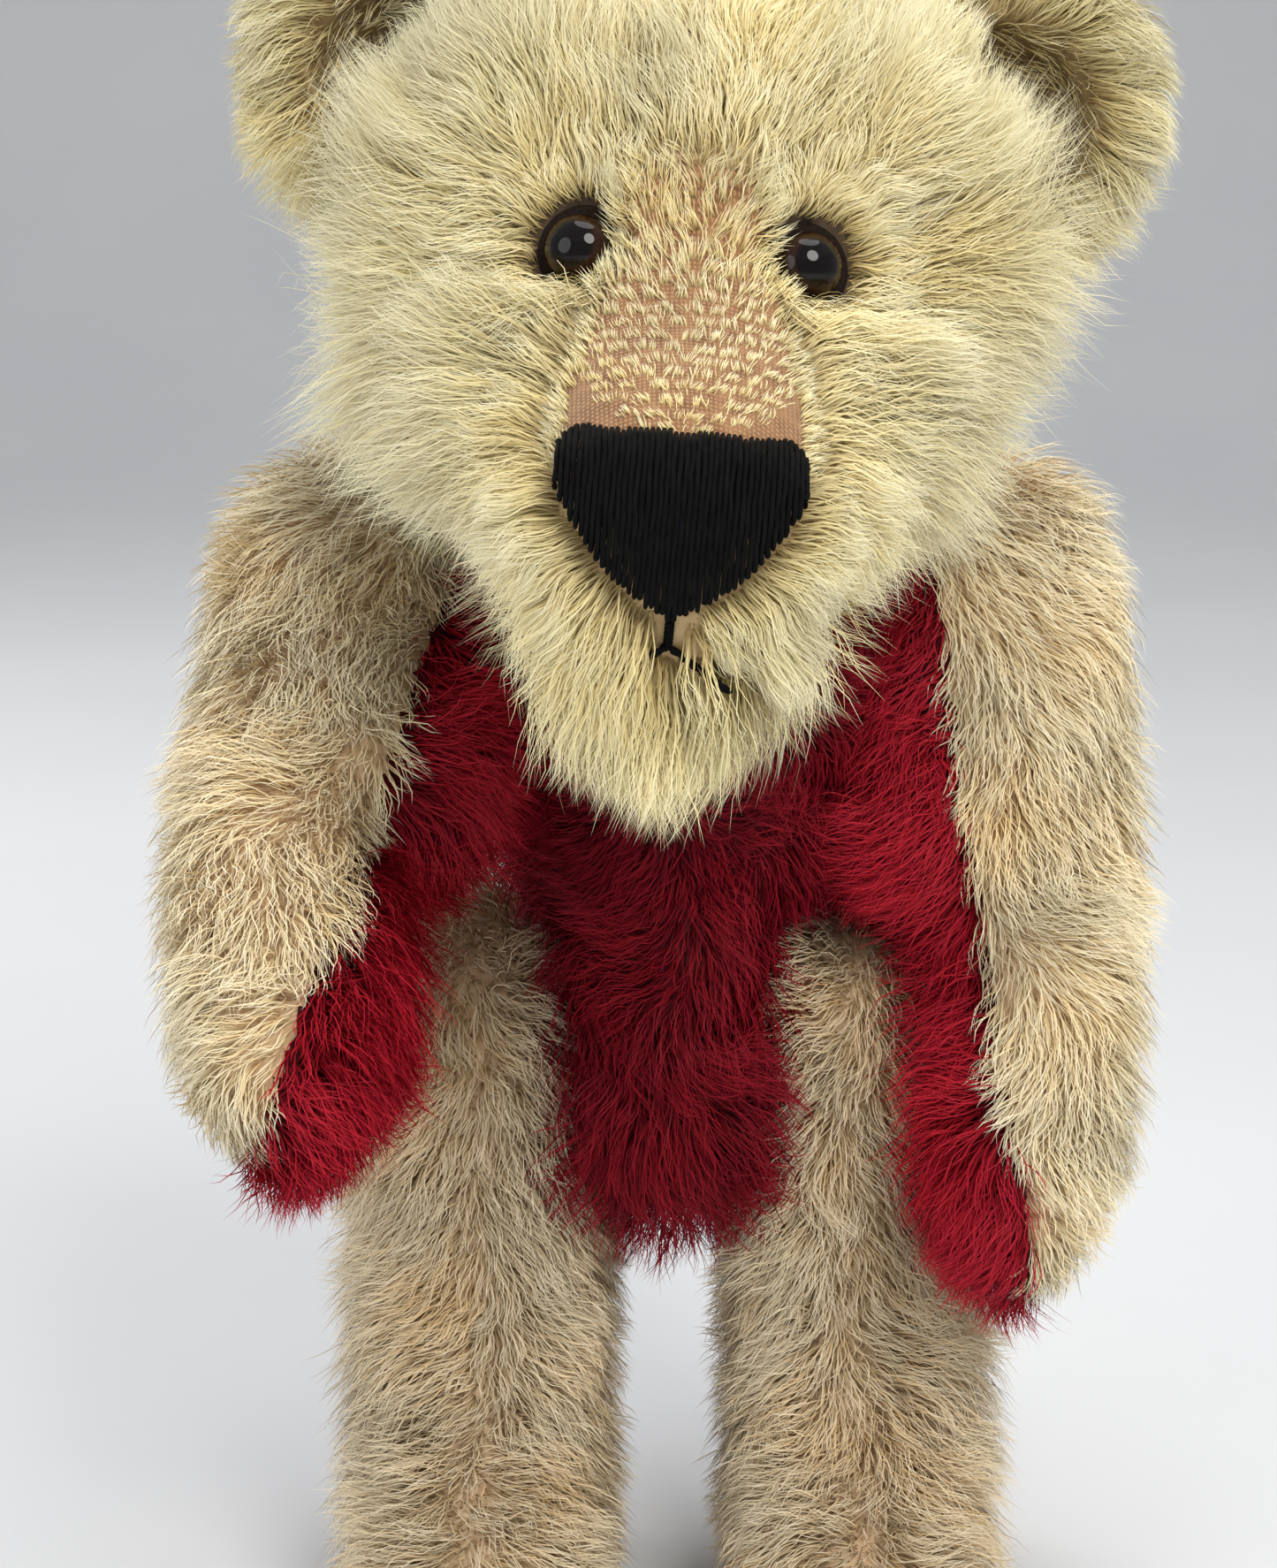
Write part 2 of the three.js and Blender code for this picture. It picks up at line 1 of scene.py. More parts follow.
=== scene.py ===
"""A jointed mohair teddy bear round its CAD frame: stuffed skins, mesh fur, threads and glass eyes."""
import json
import math

import bmesh
import bpy
import numpy as np
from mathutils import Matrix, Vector
from mathutils.bvhtree import BVHTree
from mathutils.kdtree import KDTree


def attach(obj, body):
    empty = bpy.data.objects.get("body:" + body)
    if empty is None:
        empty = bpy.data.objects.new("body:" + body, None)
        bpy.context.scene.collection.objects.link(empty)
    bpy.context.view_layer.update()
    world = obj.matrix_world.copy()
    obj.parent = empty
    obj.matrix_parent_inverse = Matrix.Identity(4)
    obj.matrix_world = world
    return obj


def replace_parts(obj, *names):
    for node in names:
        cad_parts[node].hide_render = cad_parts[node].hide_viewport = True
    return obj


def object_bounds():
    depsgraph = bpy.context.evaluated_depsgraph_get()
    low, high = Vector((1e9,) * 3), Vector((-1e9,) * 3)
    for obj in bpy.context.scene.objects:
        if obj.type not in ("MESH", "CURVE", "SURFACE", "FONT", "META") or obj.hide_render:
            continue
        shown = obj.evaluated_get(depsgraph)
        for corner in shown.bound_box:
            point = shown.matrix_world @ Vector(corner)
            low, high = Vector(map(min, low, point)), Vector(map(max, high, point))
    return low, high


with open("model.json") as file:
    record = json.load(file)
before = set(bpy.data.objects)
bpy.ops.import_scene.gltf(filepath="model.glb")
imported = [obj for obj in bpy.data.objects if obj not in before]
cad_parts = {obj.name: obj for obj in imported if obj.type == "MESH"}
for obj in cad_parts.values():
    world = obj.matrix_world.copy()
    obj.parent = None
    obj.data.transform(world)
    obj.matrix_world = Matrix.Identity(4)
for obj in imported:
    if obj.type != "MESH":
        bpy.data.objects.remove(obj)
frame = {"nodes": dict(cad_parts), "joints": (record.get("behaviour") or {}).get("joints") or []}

MM = 0.001
CAD_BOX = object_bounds()
NODES = frame["nodes"]
JOINTS = {joint["name"]: joint for joint in frame["joints"]}
HIPS = np.array(JOINTS["hip_left"]["pos_m"])
SHOULDERS = np.array(JOINTS["shoulder_left"]["pos_m"])
NECK = np.array(JOINTS["neck"]["pos_m"])
FULL_BACK = -90  # degrees: how far back an arm goes, straight out behind the bear
SIDES = {"left": 1, "right": -1}

UV_NAME = "OFBake"
BAKE_CELL = 1 / 64


# ---- places ----
class Place:
    """A body's own axes: outwards (or left), forwards, and up, from an origin."""

    def __init__(self, origin, right, front, up):
        self.origin = np.array(origin, float)
        self.axes = np.array([right, front, up], float)

    def local(self, points):
        return (points - self.origin) @ self.axes.T

    def turn_in(self, vectors):
        return vectors @ self.axes.T

    def turn_out(self, vectors):
        return vectors @ self.axes

    def world(self, points):
        return self.origin + points @ self.axes


def head_place():
    up = np.array(JOINTS["neck"]["axis"])
    right = np.array([up[2], 0, -up[0]]) / math.hypot(up[0], up[2])
    return Place(NECK, right, -np.cross(up, right), up)


def arm_place(side):
    name = "left" if side > 0 else "right"
    forward = math.radians(FULL_BACK - JOINTS[f"shoulder_{name}"]["range_deg"][0])
    up = (0, math.sin(forward), math.cos(forward))
    front = (0, -math.cos(forward), math.sin(forward))
    return Place(SHOULDERS, (side, 0, 0), front, up)


def standing_place(side):
    return Place((HIPS[0], HIPS[1], 0), (side, 0, 0), (0, -1, 0), (0, 0, 1))


HEAD = head_place()
TORSO = standing_place(1)


# ---- small mesh helpers ----
def new_object(name, mesh):
    obj = bpy.data.objects.new(name, mesh)
    bpy.context.scene.collection.objects.link(obj)
    return obj


def coordinates(mesh):
    flat = np.empty(len(mesh.vertices) * 3, np.float32)
    mesh.vertices.foreach_get("co", flat)
    return flat.reshape(-1, 3).astype(float)


def set_coordinates(mesh, points):
    mesh.vertices.foreach_set("co", points.astype(np.float32).ravel())
    mesh.update()


def make_mesh(name, points, faces, smooth=True):
    """`faces` is a list of arrays, one for each number of corners."""
    mesh = bpy.data.meshes.new(name)
    corners = np.concatenate([f.ravel() for f in faces]).astype(np.int32)
    sizes = np.concatenate([np.full(len(f), f.shape[1]) for f in faces])
    mesh.vertices.add(len(points))
    mesh.vertices.foreach_set("co", points.astype(np.float32).ravel())
    mesh.loops.add(len(corners))
    mesh.loops.foreach_set("vertex_index", corners)
    mesh.polygons.add(len(sizes))
    mesh.polygons.foreach_set("loop_start", (np.cumsum(sizes) - sizes).astype(np.int32))
    mesh.polygons.foreach_set("use_smooth", np.full(len(sizes), smooth))
    mesh.update(calc_edges=True)
    return mesh


def ring_quads(rings, sides):
    """The faces between neighbouring rings of points, each ring with the same number of sides."""
    ring, here = np.meshgrid(np.arange(rings - 1), np.arange(sides), indexing="ij")
    after = (here + 1) % sides
    quads = [ring * sides + here, ring * sides + after, (ring + 1) * sides + after, (ring + 1) * sides + here]
    return np.stack(quads, -1).reshape(-1, 4)


def apply_modifiers(obj):
    graph = bpy.context.evaluated_depsgraph_get()
    mesh = bpy.data.meshes.new_from_object(obj.evaluated_get(graph))
    obj.modifiers.clear()
    obj.data = mesh


def unit(vectors):
    return vectors / np.maximum(np.linalg.norm(vectors, axis=-1, keepdims=True), 1e-12)


def vectors(x, y, z):
    return np.stack(np.broadcast_arrays(x, y, z), axis=1).astype(float)


def from_axis(points, centre, axis):
    """Heights along the axis through `centre`, and distances from it."""
    offset = points - centre
    height = offset @ axis
    return height, np.linalg.norm(offset - np.outer(height, axis), axis=1)


def smoothstep(low, high, value):
    t = np.clip((value - low) / (high - low), 0, 1)
    return t * t * (3 - 2 * t)


def ripple(points, size, seed):
    """A smooth random number between about -1 and 1 for each point, with bumps of about `size`."""
    rng = np.random.default_rng(seed)
    total = np.zeros(len(points))
    waves = 6
    for _ in range(waves):
        wave = unit(rng.normal(size=3)) * rng.uniform(0.6, 1.5) * math.tau / size
        total += np.sin(points @ wave + rng.uniform(0, math.tau))
    return total / math.sqrt(waves)


# ---- camera, floor and light ----
CAMERA_FROM_HIPS = (-0.007, -0.800, 0.228)
CAMERA_PITCH = 12
CAMERA_LENS = 81.2
CAMERA_SENSOR = 36


def add_camera():
    data = bpy.data.cameras.new("camera")
    data.sensor_width = CAMERA_SENSOR
    data.lens = CAMERA_LENS
    camera = new_object("camera", data)
    camera.location = Vector(HIPS) + Vector(CAMERA_FROM_HIPS)
    camera.rotation_euler = (math.radians(90 - CAMERA_PITCH), 0, 0)
    bpy.context.scene.camera = camera


def add_area_light(name, place, target, size, power, colour=(1, 1, 1)):
    data = bpy.data.lights.new(name, "AREA")
    data.shape = "DISK"
    data.size = size
    data.energy = power
    data.color = colour
    light = new_object(name, data)
    light.location = place
    light.rotation_euler = (Vector(place) - Vector(target)).to_track_quat("Z", "Y").to_euler()


STAGE_FLAT, STAGE_BEND, STAGE_TOP, STAGE_SIDES = 2.0, 1.2, 2.2, 120


def add_stage():
    """A pale round floor that curves up into a wall all the way round."""
    turns = np.linspace(math.pi / 2, 0, 17)
    bend = [(STAGE_FLAT + STAGE_BEND * math.sin(t), STAGE_BEND * (1 - math.cos(t))) for t in turns]
    profile = [(STAGE_FLAT + STAGE_BEND, STAGE_TOP), *bend, (1.9, 0), (1.5, 0), (1.0, 0), (0.5, 0)]
    around = np.arange(STAGE_SIDES) / STAGE_SIDES * math.tau
    rings = [vectors(r * np.cos(around), r * np.sin(around), z) for r, z in profile]
    middle = np.arange(STAGE_SIDES)[None] + (len(profile) - 1) * STAGE_SIDES
    faces = [ring_quads(len(profile), STAGE_SIDES), middle]
    floor = new_object("floor", make_mesh("floor", np.concatenate(rings), faces))
    floor.data.materials.append(plain_noise("floor_paper", (0.68, 0.685, 0.695), (0.72, 0.725, 0.73), 3, 0.7))


def add_lights():
    middle = (HIPS[0], HIPS[1], 0.2)
    add_area_light("key", (0.6, -1.1, 1.35), middle, 0.9, 21, (1, 0.98, 0.94))
    add_area_light("fill", (-1.3, -0.9, 0.8), middle, 1.2, 7, (0.97, 0.98, 1))
    add_area_light("top", (0.2, 0.2, 1.7), middle, 1.2, 11)
    add_area_light("back_left", (-1.0, 1.0, 0.9), middle, 0.8, 6)
    bpy.context.scene.view_settings.view_transform = "Standard"
    world = bpy.data.worlds.new("studio")
    world.use_nodes = True
    background = world.node_tree.nodes["Background"]
    background.inputs["Color"].default_value = (0.86, 0.88, 0.92, 1)
    background.inputs["Strength"].default_value = 0.55
    bpy.context.scene.world = world


# ---- materials ----
def new_material(name, roughness, **sockets):
    material = bpy.data.materials.new(name)
    material.use_nodes = True
    shader = material.node_tree.nodes["Principled BSDF"]
    shader.inputs["Roughness"].default_value = roughness
    for socket, value in sockets.items():
        shader.inputs[socket.replace("_", " ")].default_value = value
    return material, material.node_tree, shader


def opaque(colour):
    return (*colour, 1)


def ramp(tree, factor, stops):
    node = tree.nodes.new("ShaderNodeValToRGB")
    elements = node.color_ramp.elements
    while len(elements) < len(stops):
        elements.new(0.5)
    for element, (position, colour) in zip(elements, stops):
        element.position = position
        element.color = opaque(colour)
    tree.links.new(factor, node.inputs["Fac"])
    return node.outputs["Color"]


def noise(tree, scale, detail=4, stretch=(1, 1, 1)):
    place = tree.nodes.new("ShaderNodeTexCoord")
    mapping = tree.nodes.new("ShaderNodeMapping")
    mapping.inputs["Scale"].default_value = stretch
    texture = tree.nodes.new("ShaderNodeTexNoise")
    texture.inputs["Scale"].default_value = scale
    texture.inputs["Detail"].default_value = detail
    tree.links.new(place.outputs["Object"], mapping.inputs["Vector"])
    tree.links.new(mapping.outputs["Vector"], texture.inputs["Vector"])
    return texture.outputs["Fac"]


def bump(tree, shader, height, strength, distance):
    node = tree.nodes.new("ShaderNodeBump")
    node.inputs["Strength"].default_value = strength
    node.inputs["Distance"].default_value = distance
    tree.links.new(height, node.inputs["Height"])
    tree.links.new(node.outputs["Normal"], shader.inputs["Normal"])


def maths(tree, operation, first, second):
    node = tree.nodes.new("ShaderNodeMath")
    node.operation = operation
    for socket, value in zip(node.inputs, (first, second)):
        if isinstance(value, bpy.types.NodeSocket):
            tree.links.new(value, socket)
        else:
            socket.default_value = value
    return node.outputs[0]


def plain_noise(name, dark, light, scale, roughness, **sockets):
    material, tree, shader = new_material(name, roughness, **sockets)
    colour = ramp(tree, noise(tree, scale), [(0.3, dark), (0.7, light)])
    tree.links.new(colour, shader.inputs["Base Color"])
    return material


def rough_noise(name, dark, light, scale, roughness, depth, stretch=(1, 1, 1), **sockets):
    material, tree, shader = new_material(name, roughness, **sockets)
    height = noise(tree, scale, 6, stretch)
    tree.links.new(ramp(tree, height, [(0.3, dark), (0.7, light)]), shader.inputs["Base Color"])
    bump(tree, shader, height, 0.6, depth)
    return material


def pelt_material(name, root, middle, tip, odd, sheen=0.2, gleam=0.3):
    """Fur: along a strand the colour runs from root to tip, and from strand to strand towards `odd`."""
    material, tree, shader = new_material(name, 0.55, Sheen_Weight=sheen, Specular_IOR_Level=gleam)
    uv = tree.nodes.new("ShaderNodeUVMap")
    uv.uv_map = UV_NAME
    parts = tree.nodes.new("ShaderNodeSeparateXYZ")
    tree.links.new(uv.outputs["UV"], parts.inputs["Vector"])
    # darker roots: partly the mohair's own tone, partly painted shade deep in the pelt
    along = ramp(tree, parts.outputs["Y"], [(0.0, root), (0.4, middle), (0.95, tip)])
    across = ramp(tree, parts.outputs["X"], [(0.05, (0.72, 0.70, 0.66)), (0.5, (1, 1, 1)), (0.95, odd)])
    mix = tree.nodes.new("ShaderNodeMix")
    mix.data_type = "RGBA"
    mix.blend_type = "MULTIPLY"
    mix.inputs["Factor"].default_value = 1
    tree.links.new(along, mix.inputs[6])
    tree.links.new(across, mix.inputs[7])
    tree.links.new(mix.outputs[2], shader.inputs["Base Color"])
    return material


WEAVE_PITCH = 0.9 * MM


def woven_cloth(name, dark, light):
    """A plain weave: two crossed waves of thread, with uneven colour."""
    material, tree, shader = new_material(name, 0.85, Sheen_Weight=0.2)
    place = tree.nodes.new("ShaderNodeTexCoord")
    heights = []
    for direction in "XY":
        wave = tree.nodes.new("ShaderNodeTexWave")
        wave.bands_direction = direction
        wave.inputs["Scale"].default_value = math.tau / 20 / WEAVE_PITCH
        wave.inputs["Distortion"].default_value = 1.2
        wave.inputs["Detail Scale"].default_value = 2
        tree.links.new(place.outputs["Object"], wave.inputs["Vector"])
        heights.append(wave.outputs["Fac"])
    weave = maths(tree, "MULTIPLY", *heights)
    both = maths(tree, "ADD", weave, noise(tree, 260))
    tree.links.new(ramp(tree, both, [(0.3, dark), (1.0, light)]), shader.inputs["Base Color"])
    bump(tree, shader, weave, 0.7, 0.0004)
    return material


# The roots are darker than the tips: partly the mohair's own tone, partly painted shade deep in the pelt.
PELT_COLOURS = {  # root, middle, tip, and the tint of the oddest strands
    "blond_pelt": ((0.30, 0.19, 0.055), (0.80, 0.68, 0.34), (0.96, 0.91, 0.64), (1, 0.93, 0.74)),
    "cream_pelt": ((0.48, 0.30, 0.13), (0.82, 0.68, 0.40), (0.95, 0.88, 0.66), (1, 0.89, 0.72)),
    "leg_pelt": ((0.30, 0.18, 0.07), (0.60, 0.46, 0.26), (0.86, 0.76, 0.56), (1, 0.86, 0.66)),
    # painted shade: a darker copy of the red mohair, for the torso's front in the shadow under the head
    "shaded_red_pelt": ((0.03, 0.0005, 0.002), (0.15, 0.004, 0.010), (0.30, 0.010, 0.022), (1, 0.7, 0.7)),
    # painted light: a lighter copy of the same red mohair, for the arms' inner sides
    "lit_red_pelt": ((0.07, 0.001, 0.004), (0.30, 0.008, 0.018), (0.52, 0.020, 0.040), (1, 0.7, 0.7)),
}
ROUGH_COLOURS = {  # dark, light, size of the grain, roughness, and depth of the bumps
    "blond_ground": ((0.42, 0.27, 0.12), (0.62, 0.46, 0.24), 300, 0.9, 0.0004),
    # painted shade for the hollow of the ear's cup
    "ear_cup_painted_shade": ((0.13, 0.08, 0.028), (0.24, 0.16, 0.06), 300, 0.9, 0.0004),
    "cream_ground": ((0.58, 0.38, 0.20), (0.74, 0.55, 0.34), 300, 0.9, 0.0004),
    "red_ground": ((0.04, 0.001, 0.003), (0.09, 0.002, 0.006), 300, 0.9, 0.0004),
    # painted shade round the eyes, standing for the shadowed sockets
    "eye_socket_painted_shade": ((0.035, 0.020, 0.010), (0.09, 0.055, 0.028), 300, 0.9, 0.0004),
    "stuffing": ((0.82, 0.80, 0.75), (0.94, 0.93, 0.90), 90, 1.0, 0.002),
    "hardboard": ((0.24, 0.13, 0.06), (0.36, 0.21, 0.10), 400, 0.75, 0.0002),
    "card": ((0.50, 0.40, 0.26), (0.62, 0.50, 0.34), 500, 0.8, 0.0001),
    "zinc": ((0.52, 0.53, 0.55), (0.70, 0.71, 0.73), 900, 0.35, 0.00005),
    "suede": ((0.60, 0.42, 0.25), (0.76, 0.58, 0.38), 700, 0.9, 0.0003),
    "thread": ((0.002, 0.002, 0.002), (0.006, 0.006, 0.006), 900, 0.8, 0.0002),
    "felt": ((0.008, 0.005, 0.004), (0.022, 0.014, 0.010), 1500, 1.0, 0.0003),
}
MATERIAL_EXTRAS = {
    "shaded_red_pelt": {"sheen": 0, "gleam": 0.08},
    "lit_red_pelt": {"sheen": 0, "gleam": 0.08},
    "zinc": {"Metallic": 0.95},
    "suede": {"Sheen_Weight": 0.5},
    "thread": {"stretch": (1, 1, 0.15), "Specular_IOR_Level": 0.08},
    "felt": {"Specular_IOR_Level": 0.1},
}


def all_materials():
    made = {"clipped_cloth": woven_cloth("clipped_cloth", (0.15, 0.060, 0.018), (0.42, 0.22, 0.09))}
    for name, colours in PELT_COLOURS.items():
        made[name] = pelt_material(name, *colours, **MATERIAL_EXTRAS.get(name, {}))
    for name, values in ROUGH_COLOURS.items():
        made[name] = rough_noise(name, *values, **MATERIAL_EXTRAS.get(name, {}))
    return made


MATERIALS = all_materials()


# ---- stuffed skins ----
VOXEL = 4 * MM
SIM_FRAMES = 20
PRESSURE = 4.0


def largest_island(mesh):
    """Drops all but the largest connected surface, such as the walls of the pockets inside."""
    bm = bmesh.new()
    bm.from_mesh(mesh)
    bm.verts.ensure_lookup_table()
    seen, best = set(), []
    for start in bm.verts:
        if start in seen:
            continue
        seen.add(start)
        island, queue = [], [start]
        while queue:
            vert = queue.pop()
            island.append(vert)
            for edge in vert.link_edges:
                other = edge.other_vert(vert)
                if other not in seen:
                    seen.add(other)
                    queue.append(other)
        best = max(best, island, key=len)
    kept = set(best)
    bmesh.ops.delete(bm, geom=[v for v in bm.verts if v not in kept], context="VERTS")
    bm.to_mesh(mesh)
    bm.free()


def skin_blank(name, nodes, voxel=VOXEL):
    """A closed, even mesh round some CAD nodes, ready to be stuffed."""
    bm = bmesh.new()
    for node in nodes:
        bm.from_mesh(NODES[node].data)
    mesh = bpy.data.meshes.new(name)
    bm.to_mesh(mesh)
    bm.free()
    obj = new_object(name, mesh)
    remesh = obj.modifiers.new("even", "REMESH")
    remesh.mode = "VOXEL"
    remesh.voxel_size = voxel
    apply_modifiers(obj)
    largest_island(obj.data)
    relax = obj.modifiers.new("relax", "SMOOTH")
    relax.factor = 0.5
    relax.iterations = 5
    apply_modifiers(obj)
    return obj


def stuff(skins):
    """Blows the blanks up as cloth under pressure. Each has a cap on its travel and a test for held ones."""
    scene = bpy.context.scene
    starts = {}
    for obj, (cap, held) in skins.items():
        starts[obj] = coordinates(obj.data)
        group = obj.vertex_groups.new(name="held")
        group.add([int(i) for i in np.nonzero(held(starts[obj]))[0]], 1, "REPLACE")
        cloth = obj.modifiers.new("stuffing", "CLOTH")
        cloth.settings.quality = 4
        cloth.settings.mass = 0.05
        cloth.settings.tension_stiffness = 25
        cloth.settings.compression_stiffness = 25
        cloth.settings.bending_stiffness = 0.8
        cloth.settings.use_pressure = True
        cloth.settings.uniform_pressure_force = PRESSURE
        cloth.settings.vertex_group_mass = "held"
        cloth.settings.effector_weights.gravity = 0
        cloth.point_cache.frame_start = 1
        cloth.point_cache.frame_end = SIM_FRAMES
    for number in range(1, SIM_FRAMES + 1):
        scene.frame_set(number)
    graph = bpy.context.evaluated_depsgraph_get()
    for obj, (cap, held) in skins.items():
        moved = coordinates(obj.evaluated_get(graph).data) - starts[obj]
        far = np.linalg.norm(moved, axis=1, keepdims=True)
        moved *= np.minimum(1, cap / np.maximum(far, 1e-9))
        obj.modifiers.clear()
        obj.vertex_groups.clear()
        set_coordinates(obj.data, starts[obj] + moved)
    scene.frame_set(1)
    for obj in skins:
        fine = obj.modifiers.new("fine", "SUBSURF")
        fine.levels = 1
        apply_modifiers(obj)
        obj.data.polygons.foreach_set("use_smooth", [True] * len(obj.data.polygons))


def near_axis(centre, half, radius, axis=(1, 0, 0)):
    """A test for the points round a joint, which the joint's boards hold flat."""
    line = unit(np.array(axis, float))

    def held(points):
        height, reach = from_axis(points, centre, line)
        return (reach < radius) & (np.abs(height) < half)

    return held


def either(*tests):
    return lambda points: np.any([test(points) for test in tests], axis=0)


def paint(obj, materials, chooser):
    """Gives each face the material that `chooser` picks from its centre and normal."""
    for material in materials:
        obj.data.materials.append(MATERIALS[material])
    count = len(obj.data.polygons)
    centres = np.empty(count * 3, np.float32)
    normals = np.empty(count * 3, np.float32)
    obj.data.polygons.foreach_get("center", centres)
    obj.data.polygons.foreach_get("normal", normals)
    index = chooser(centres.reshape(-1, 3).astype(float), normals.reshape(-1, 3).astype(float))
    obj.data.polygons.foreach_set("material_index", index.astype(np.int32))
    obj.data.update()


# ---- fur ----
SOFTNESS = 0.65  # how much a strand is shaded like the skin under it
RAGGED = 0.25  # how much shorter some strands are than others


class Pelt:
    """How one kind of fur grows. Lengths are in metres, and directions are in the body's own axes."""

    def __init__(self, material, slot, steps, width, lift, droop, wander, wave, clump, lock):
        self.material = material
        self.slot = slot
        self.steps = steps
        self.width = width
        self.lift = lift
        self.droop = droop
        self.wander = wander
        self.wave = wave
        self.clump = clump
        self.lock = lock


def triangles_of(mesh):
    mesh.calc_loop_triangles()
    corners = np.empty(len(mesh.loop_triangles) * 3, np.int32)
    mesh.loop_triangles.foreach_get("vertices", corners)
    points = coordinates(mesh)
    normals = np.empty(len(mesh.vertices) * 3, np.float32)
    mesh.vertices.foreach_get("normal", normals)
    return points, normals.reshape(-1, 3).astype(float), corners.reshape(-1, 3)


def scatter(skin, amount, rng, wanted):
    """`amount` random points on the wanted triangles of a skin, with the skin's smooth normals there."""
    points, normals, corners = triangles_of(skin.data)
    a, b, c = (points[corners[:, k]] for k in range(3))
    areas = np.linalg.norm(np.cross(b - a, c - a), axis=1) / 2 * wanted(points[corners])
    chosen = rng.choice(len(areas), amount, p=areas / areas.sum())
    u, v = rng.random(amount), rng.random(amount)
    flip = u + v > 1
    u[flip], v[flip] = 1 - u[flip], 1 - v[flip]
    weights = np.stack([1 - u - v, u, v], axis=1)
    where = np.einsum("nk,nkd->nd", weights, points[corners[chosen]])
    facing = np.einsum("nk,nkd->nd", weights, normals[corners[chosen]])
    return where, unit(facing)


def nearest_guides(roots, guides):
    tree = KDTree(len(guides))
    for i in guides:
        tree.insert(roots[i], int(i))
    tree.balance()
    return np.array([tree.find(root)[1] for root in roots])


def grow(roots, normals, comb, lengths, pelt, rng):
    """The paths of the strands, as an array of strand, step and coordinate."""
    count, steps = len(roots), pelt.steps
    tangent = unit(comb - np.sum(comb * normals, axis=1, keepdims=True) * normals)
    jitter = unit(rng.normal(size=(count, 3)))
    lift = np.clip(pelt.lift + rng.normal(0, 0.10, (count, 1)), 0.08, 1)
    heading = unit(normals * lift + tangent * (1 - lift) + jitter * pelt.wander * 0.5)
    sway = np.stack([ripple(roots, 0.022, 31 + k) for k in range(3)], axis=1) * pelt.wander
    pull = unit(tangent + sway + np.array([0, 0, -pelt.droop]))
    paths = np.empty((count, steps + 1, 3))
    paths[:, 0] = roots - normals * 0.3 * MM
    stride = (lengths / steps)[:, None]
    for k in range(steps):
        paths[:, k + 1] = paths[:, k] + heading * stride
        bend = 0.22 + 0.5 * pelt.droop * (k / steps)
        heading = unit(heading + pull * bend + rng.normal(0, 0.06, (count, 3)))
    across = unit(np.cross(heading, normals) + 1e-9)
    phase = ripple(roots, 0.012, 77) * math.pi + rng.normal(0, 0.5, count)
    along = np.linspace(0, 1, steps + 1)
    turns = phase[:, None] + along * math.tau * (lengths / (14 * MM))[:, None]
    swing = np.sin(turns) * along * pelt.wave
    paths += across[:, None] * swing[:, :, None]
    gather(paths, pelt, rng)
    return paths


def gather(paths, pelt, rng):
    """Draws the strands' tips together into locks."""
    count = len(paths)
    spacing = pelt.lock ** 2
    low, high = paths[:, 0].min(0), paths[:, 0].max(0)
    span = np.sort(high - low)[1:]
    wanted = int(min(count / 6, 2.2 * span[0] * span[1] / spacing + 20))
    guides = rng.choice(count, max(wanted, 1), replace=False)
    nearest = nearest_guides(paths[:, 0], guides)
    along = np.linspace(0, 1, paths.shape[1])[None, :, None]
    hold = pelt.clump * rng.uniform(0.5, 1.0, (count, 1, 1)) * along ** 1.3
    offset = (paths[:, :1] - paths[nearest][:, :1]) * (1 - 0.8 * along)
    paths[:] = paths * (1 - hold) + (paths[nearest] + offset) * hold


def ribbons(name, paths, normals, shade, width, rng):
    """Flat, tapering ribbons along the paths, each with its own shade in the UV map."""
    count, rings = paths.shape[:2]
    run = unit(np.gradient(paths, axis=1))
    side = unit(np.cross(run, normals[:, None]) + 1e-9)
    twist = rng.uniform(-0.9, 0.9, (count, 1, 1))
    side = unit(side * np.cos(twist) + np.cross(run, side) * np.sin(twist))
    along = np.linspace(0, 1, rings)
    taper = 1 - 0.8 * along ** 2
    half = width * rng.uniform(0.7, 1.25, (count, 1)) * taper / 2
    left = paths[:, :-1] - side[:, :-1] * half[:, :-1, None]
    right = paths[:, :-1] + side[:, :-1] * half[:, :-1, None]
    points = np.concatenate([np.stack([left, right], axis=2).reshape(count, -1, 3), paths[:, -1:]], axis=1)
    per = points.shape[1]
    pairs = rings - 2
    base = np.array([[2 * k, 2 * k + 1, 2 * k + 3, 2 * k + 2] for k in range(pairs)])
    start = np.arange(count)[:, None, None] * per
    quads = (base[None] + start).reshape(-1, 4)
    tips = (np.array([[per - 3, per - 2, per - 1]])[None] + start).reshape(-1, 3)
    mesh = make_mesh(name, points.reshape(-1, 3), [quads, tips])
    u = np.repeat(np.clip(shade, 0, 1) * (1 - BAKE_CELL), per).reshape(count, per)
    u[:, 1::2] += BAKE_CELL
    v = np.concatenate([np.repeat(along[:-1], 2), [1.0]])
    uv = np.stack([u, np.broadcast_to(v, (count, per))], axis=2).reshape(-1, 2)
    corners = np.concatenate([quads.ravel(), tips.ravel()])
    layer = mesh.uv_layers.new(name=UV_NAME)
    layer.uv.foreach_set("vector", uv[corners].astype(np.float32).ravel())
    soften(mesh, run, side, normals, count, per)
    return new_object(name, mesh)


def soften(mesh, run, side, normals, count, per):
    """Shades the ribbons partly like the skin they grow from, so that they look like one soft pelt."""
    flat = np.cross(side, run)
    out = normals[:, None]
    lifted = unit(out - np.sum(out * run, axis=2, keepdims=True) * run)
    shading = unit(flat * (1 - SOFTNESS) + lifted * SOFTNESS * 0.7 + out * SOFTNESS * 0.3)
    each = np.concatenate([np.repeat(shading[:, :-1], 2, axis=1), shading[:, -1:]], axis=1)
    mesh.normals_split_custom_set_from_vertices(each.reshape(count * per, 3))


SPARE_SHARE = 0.03  # how far past the CAD box the fur may stand: a share of each side
SPARE_LENGTH = 9 * MM  # and a length


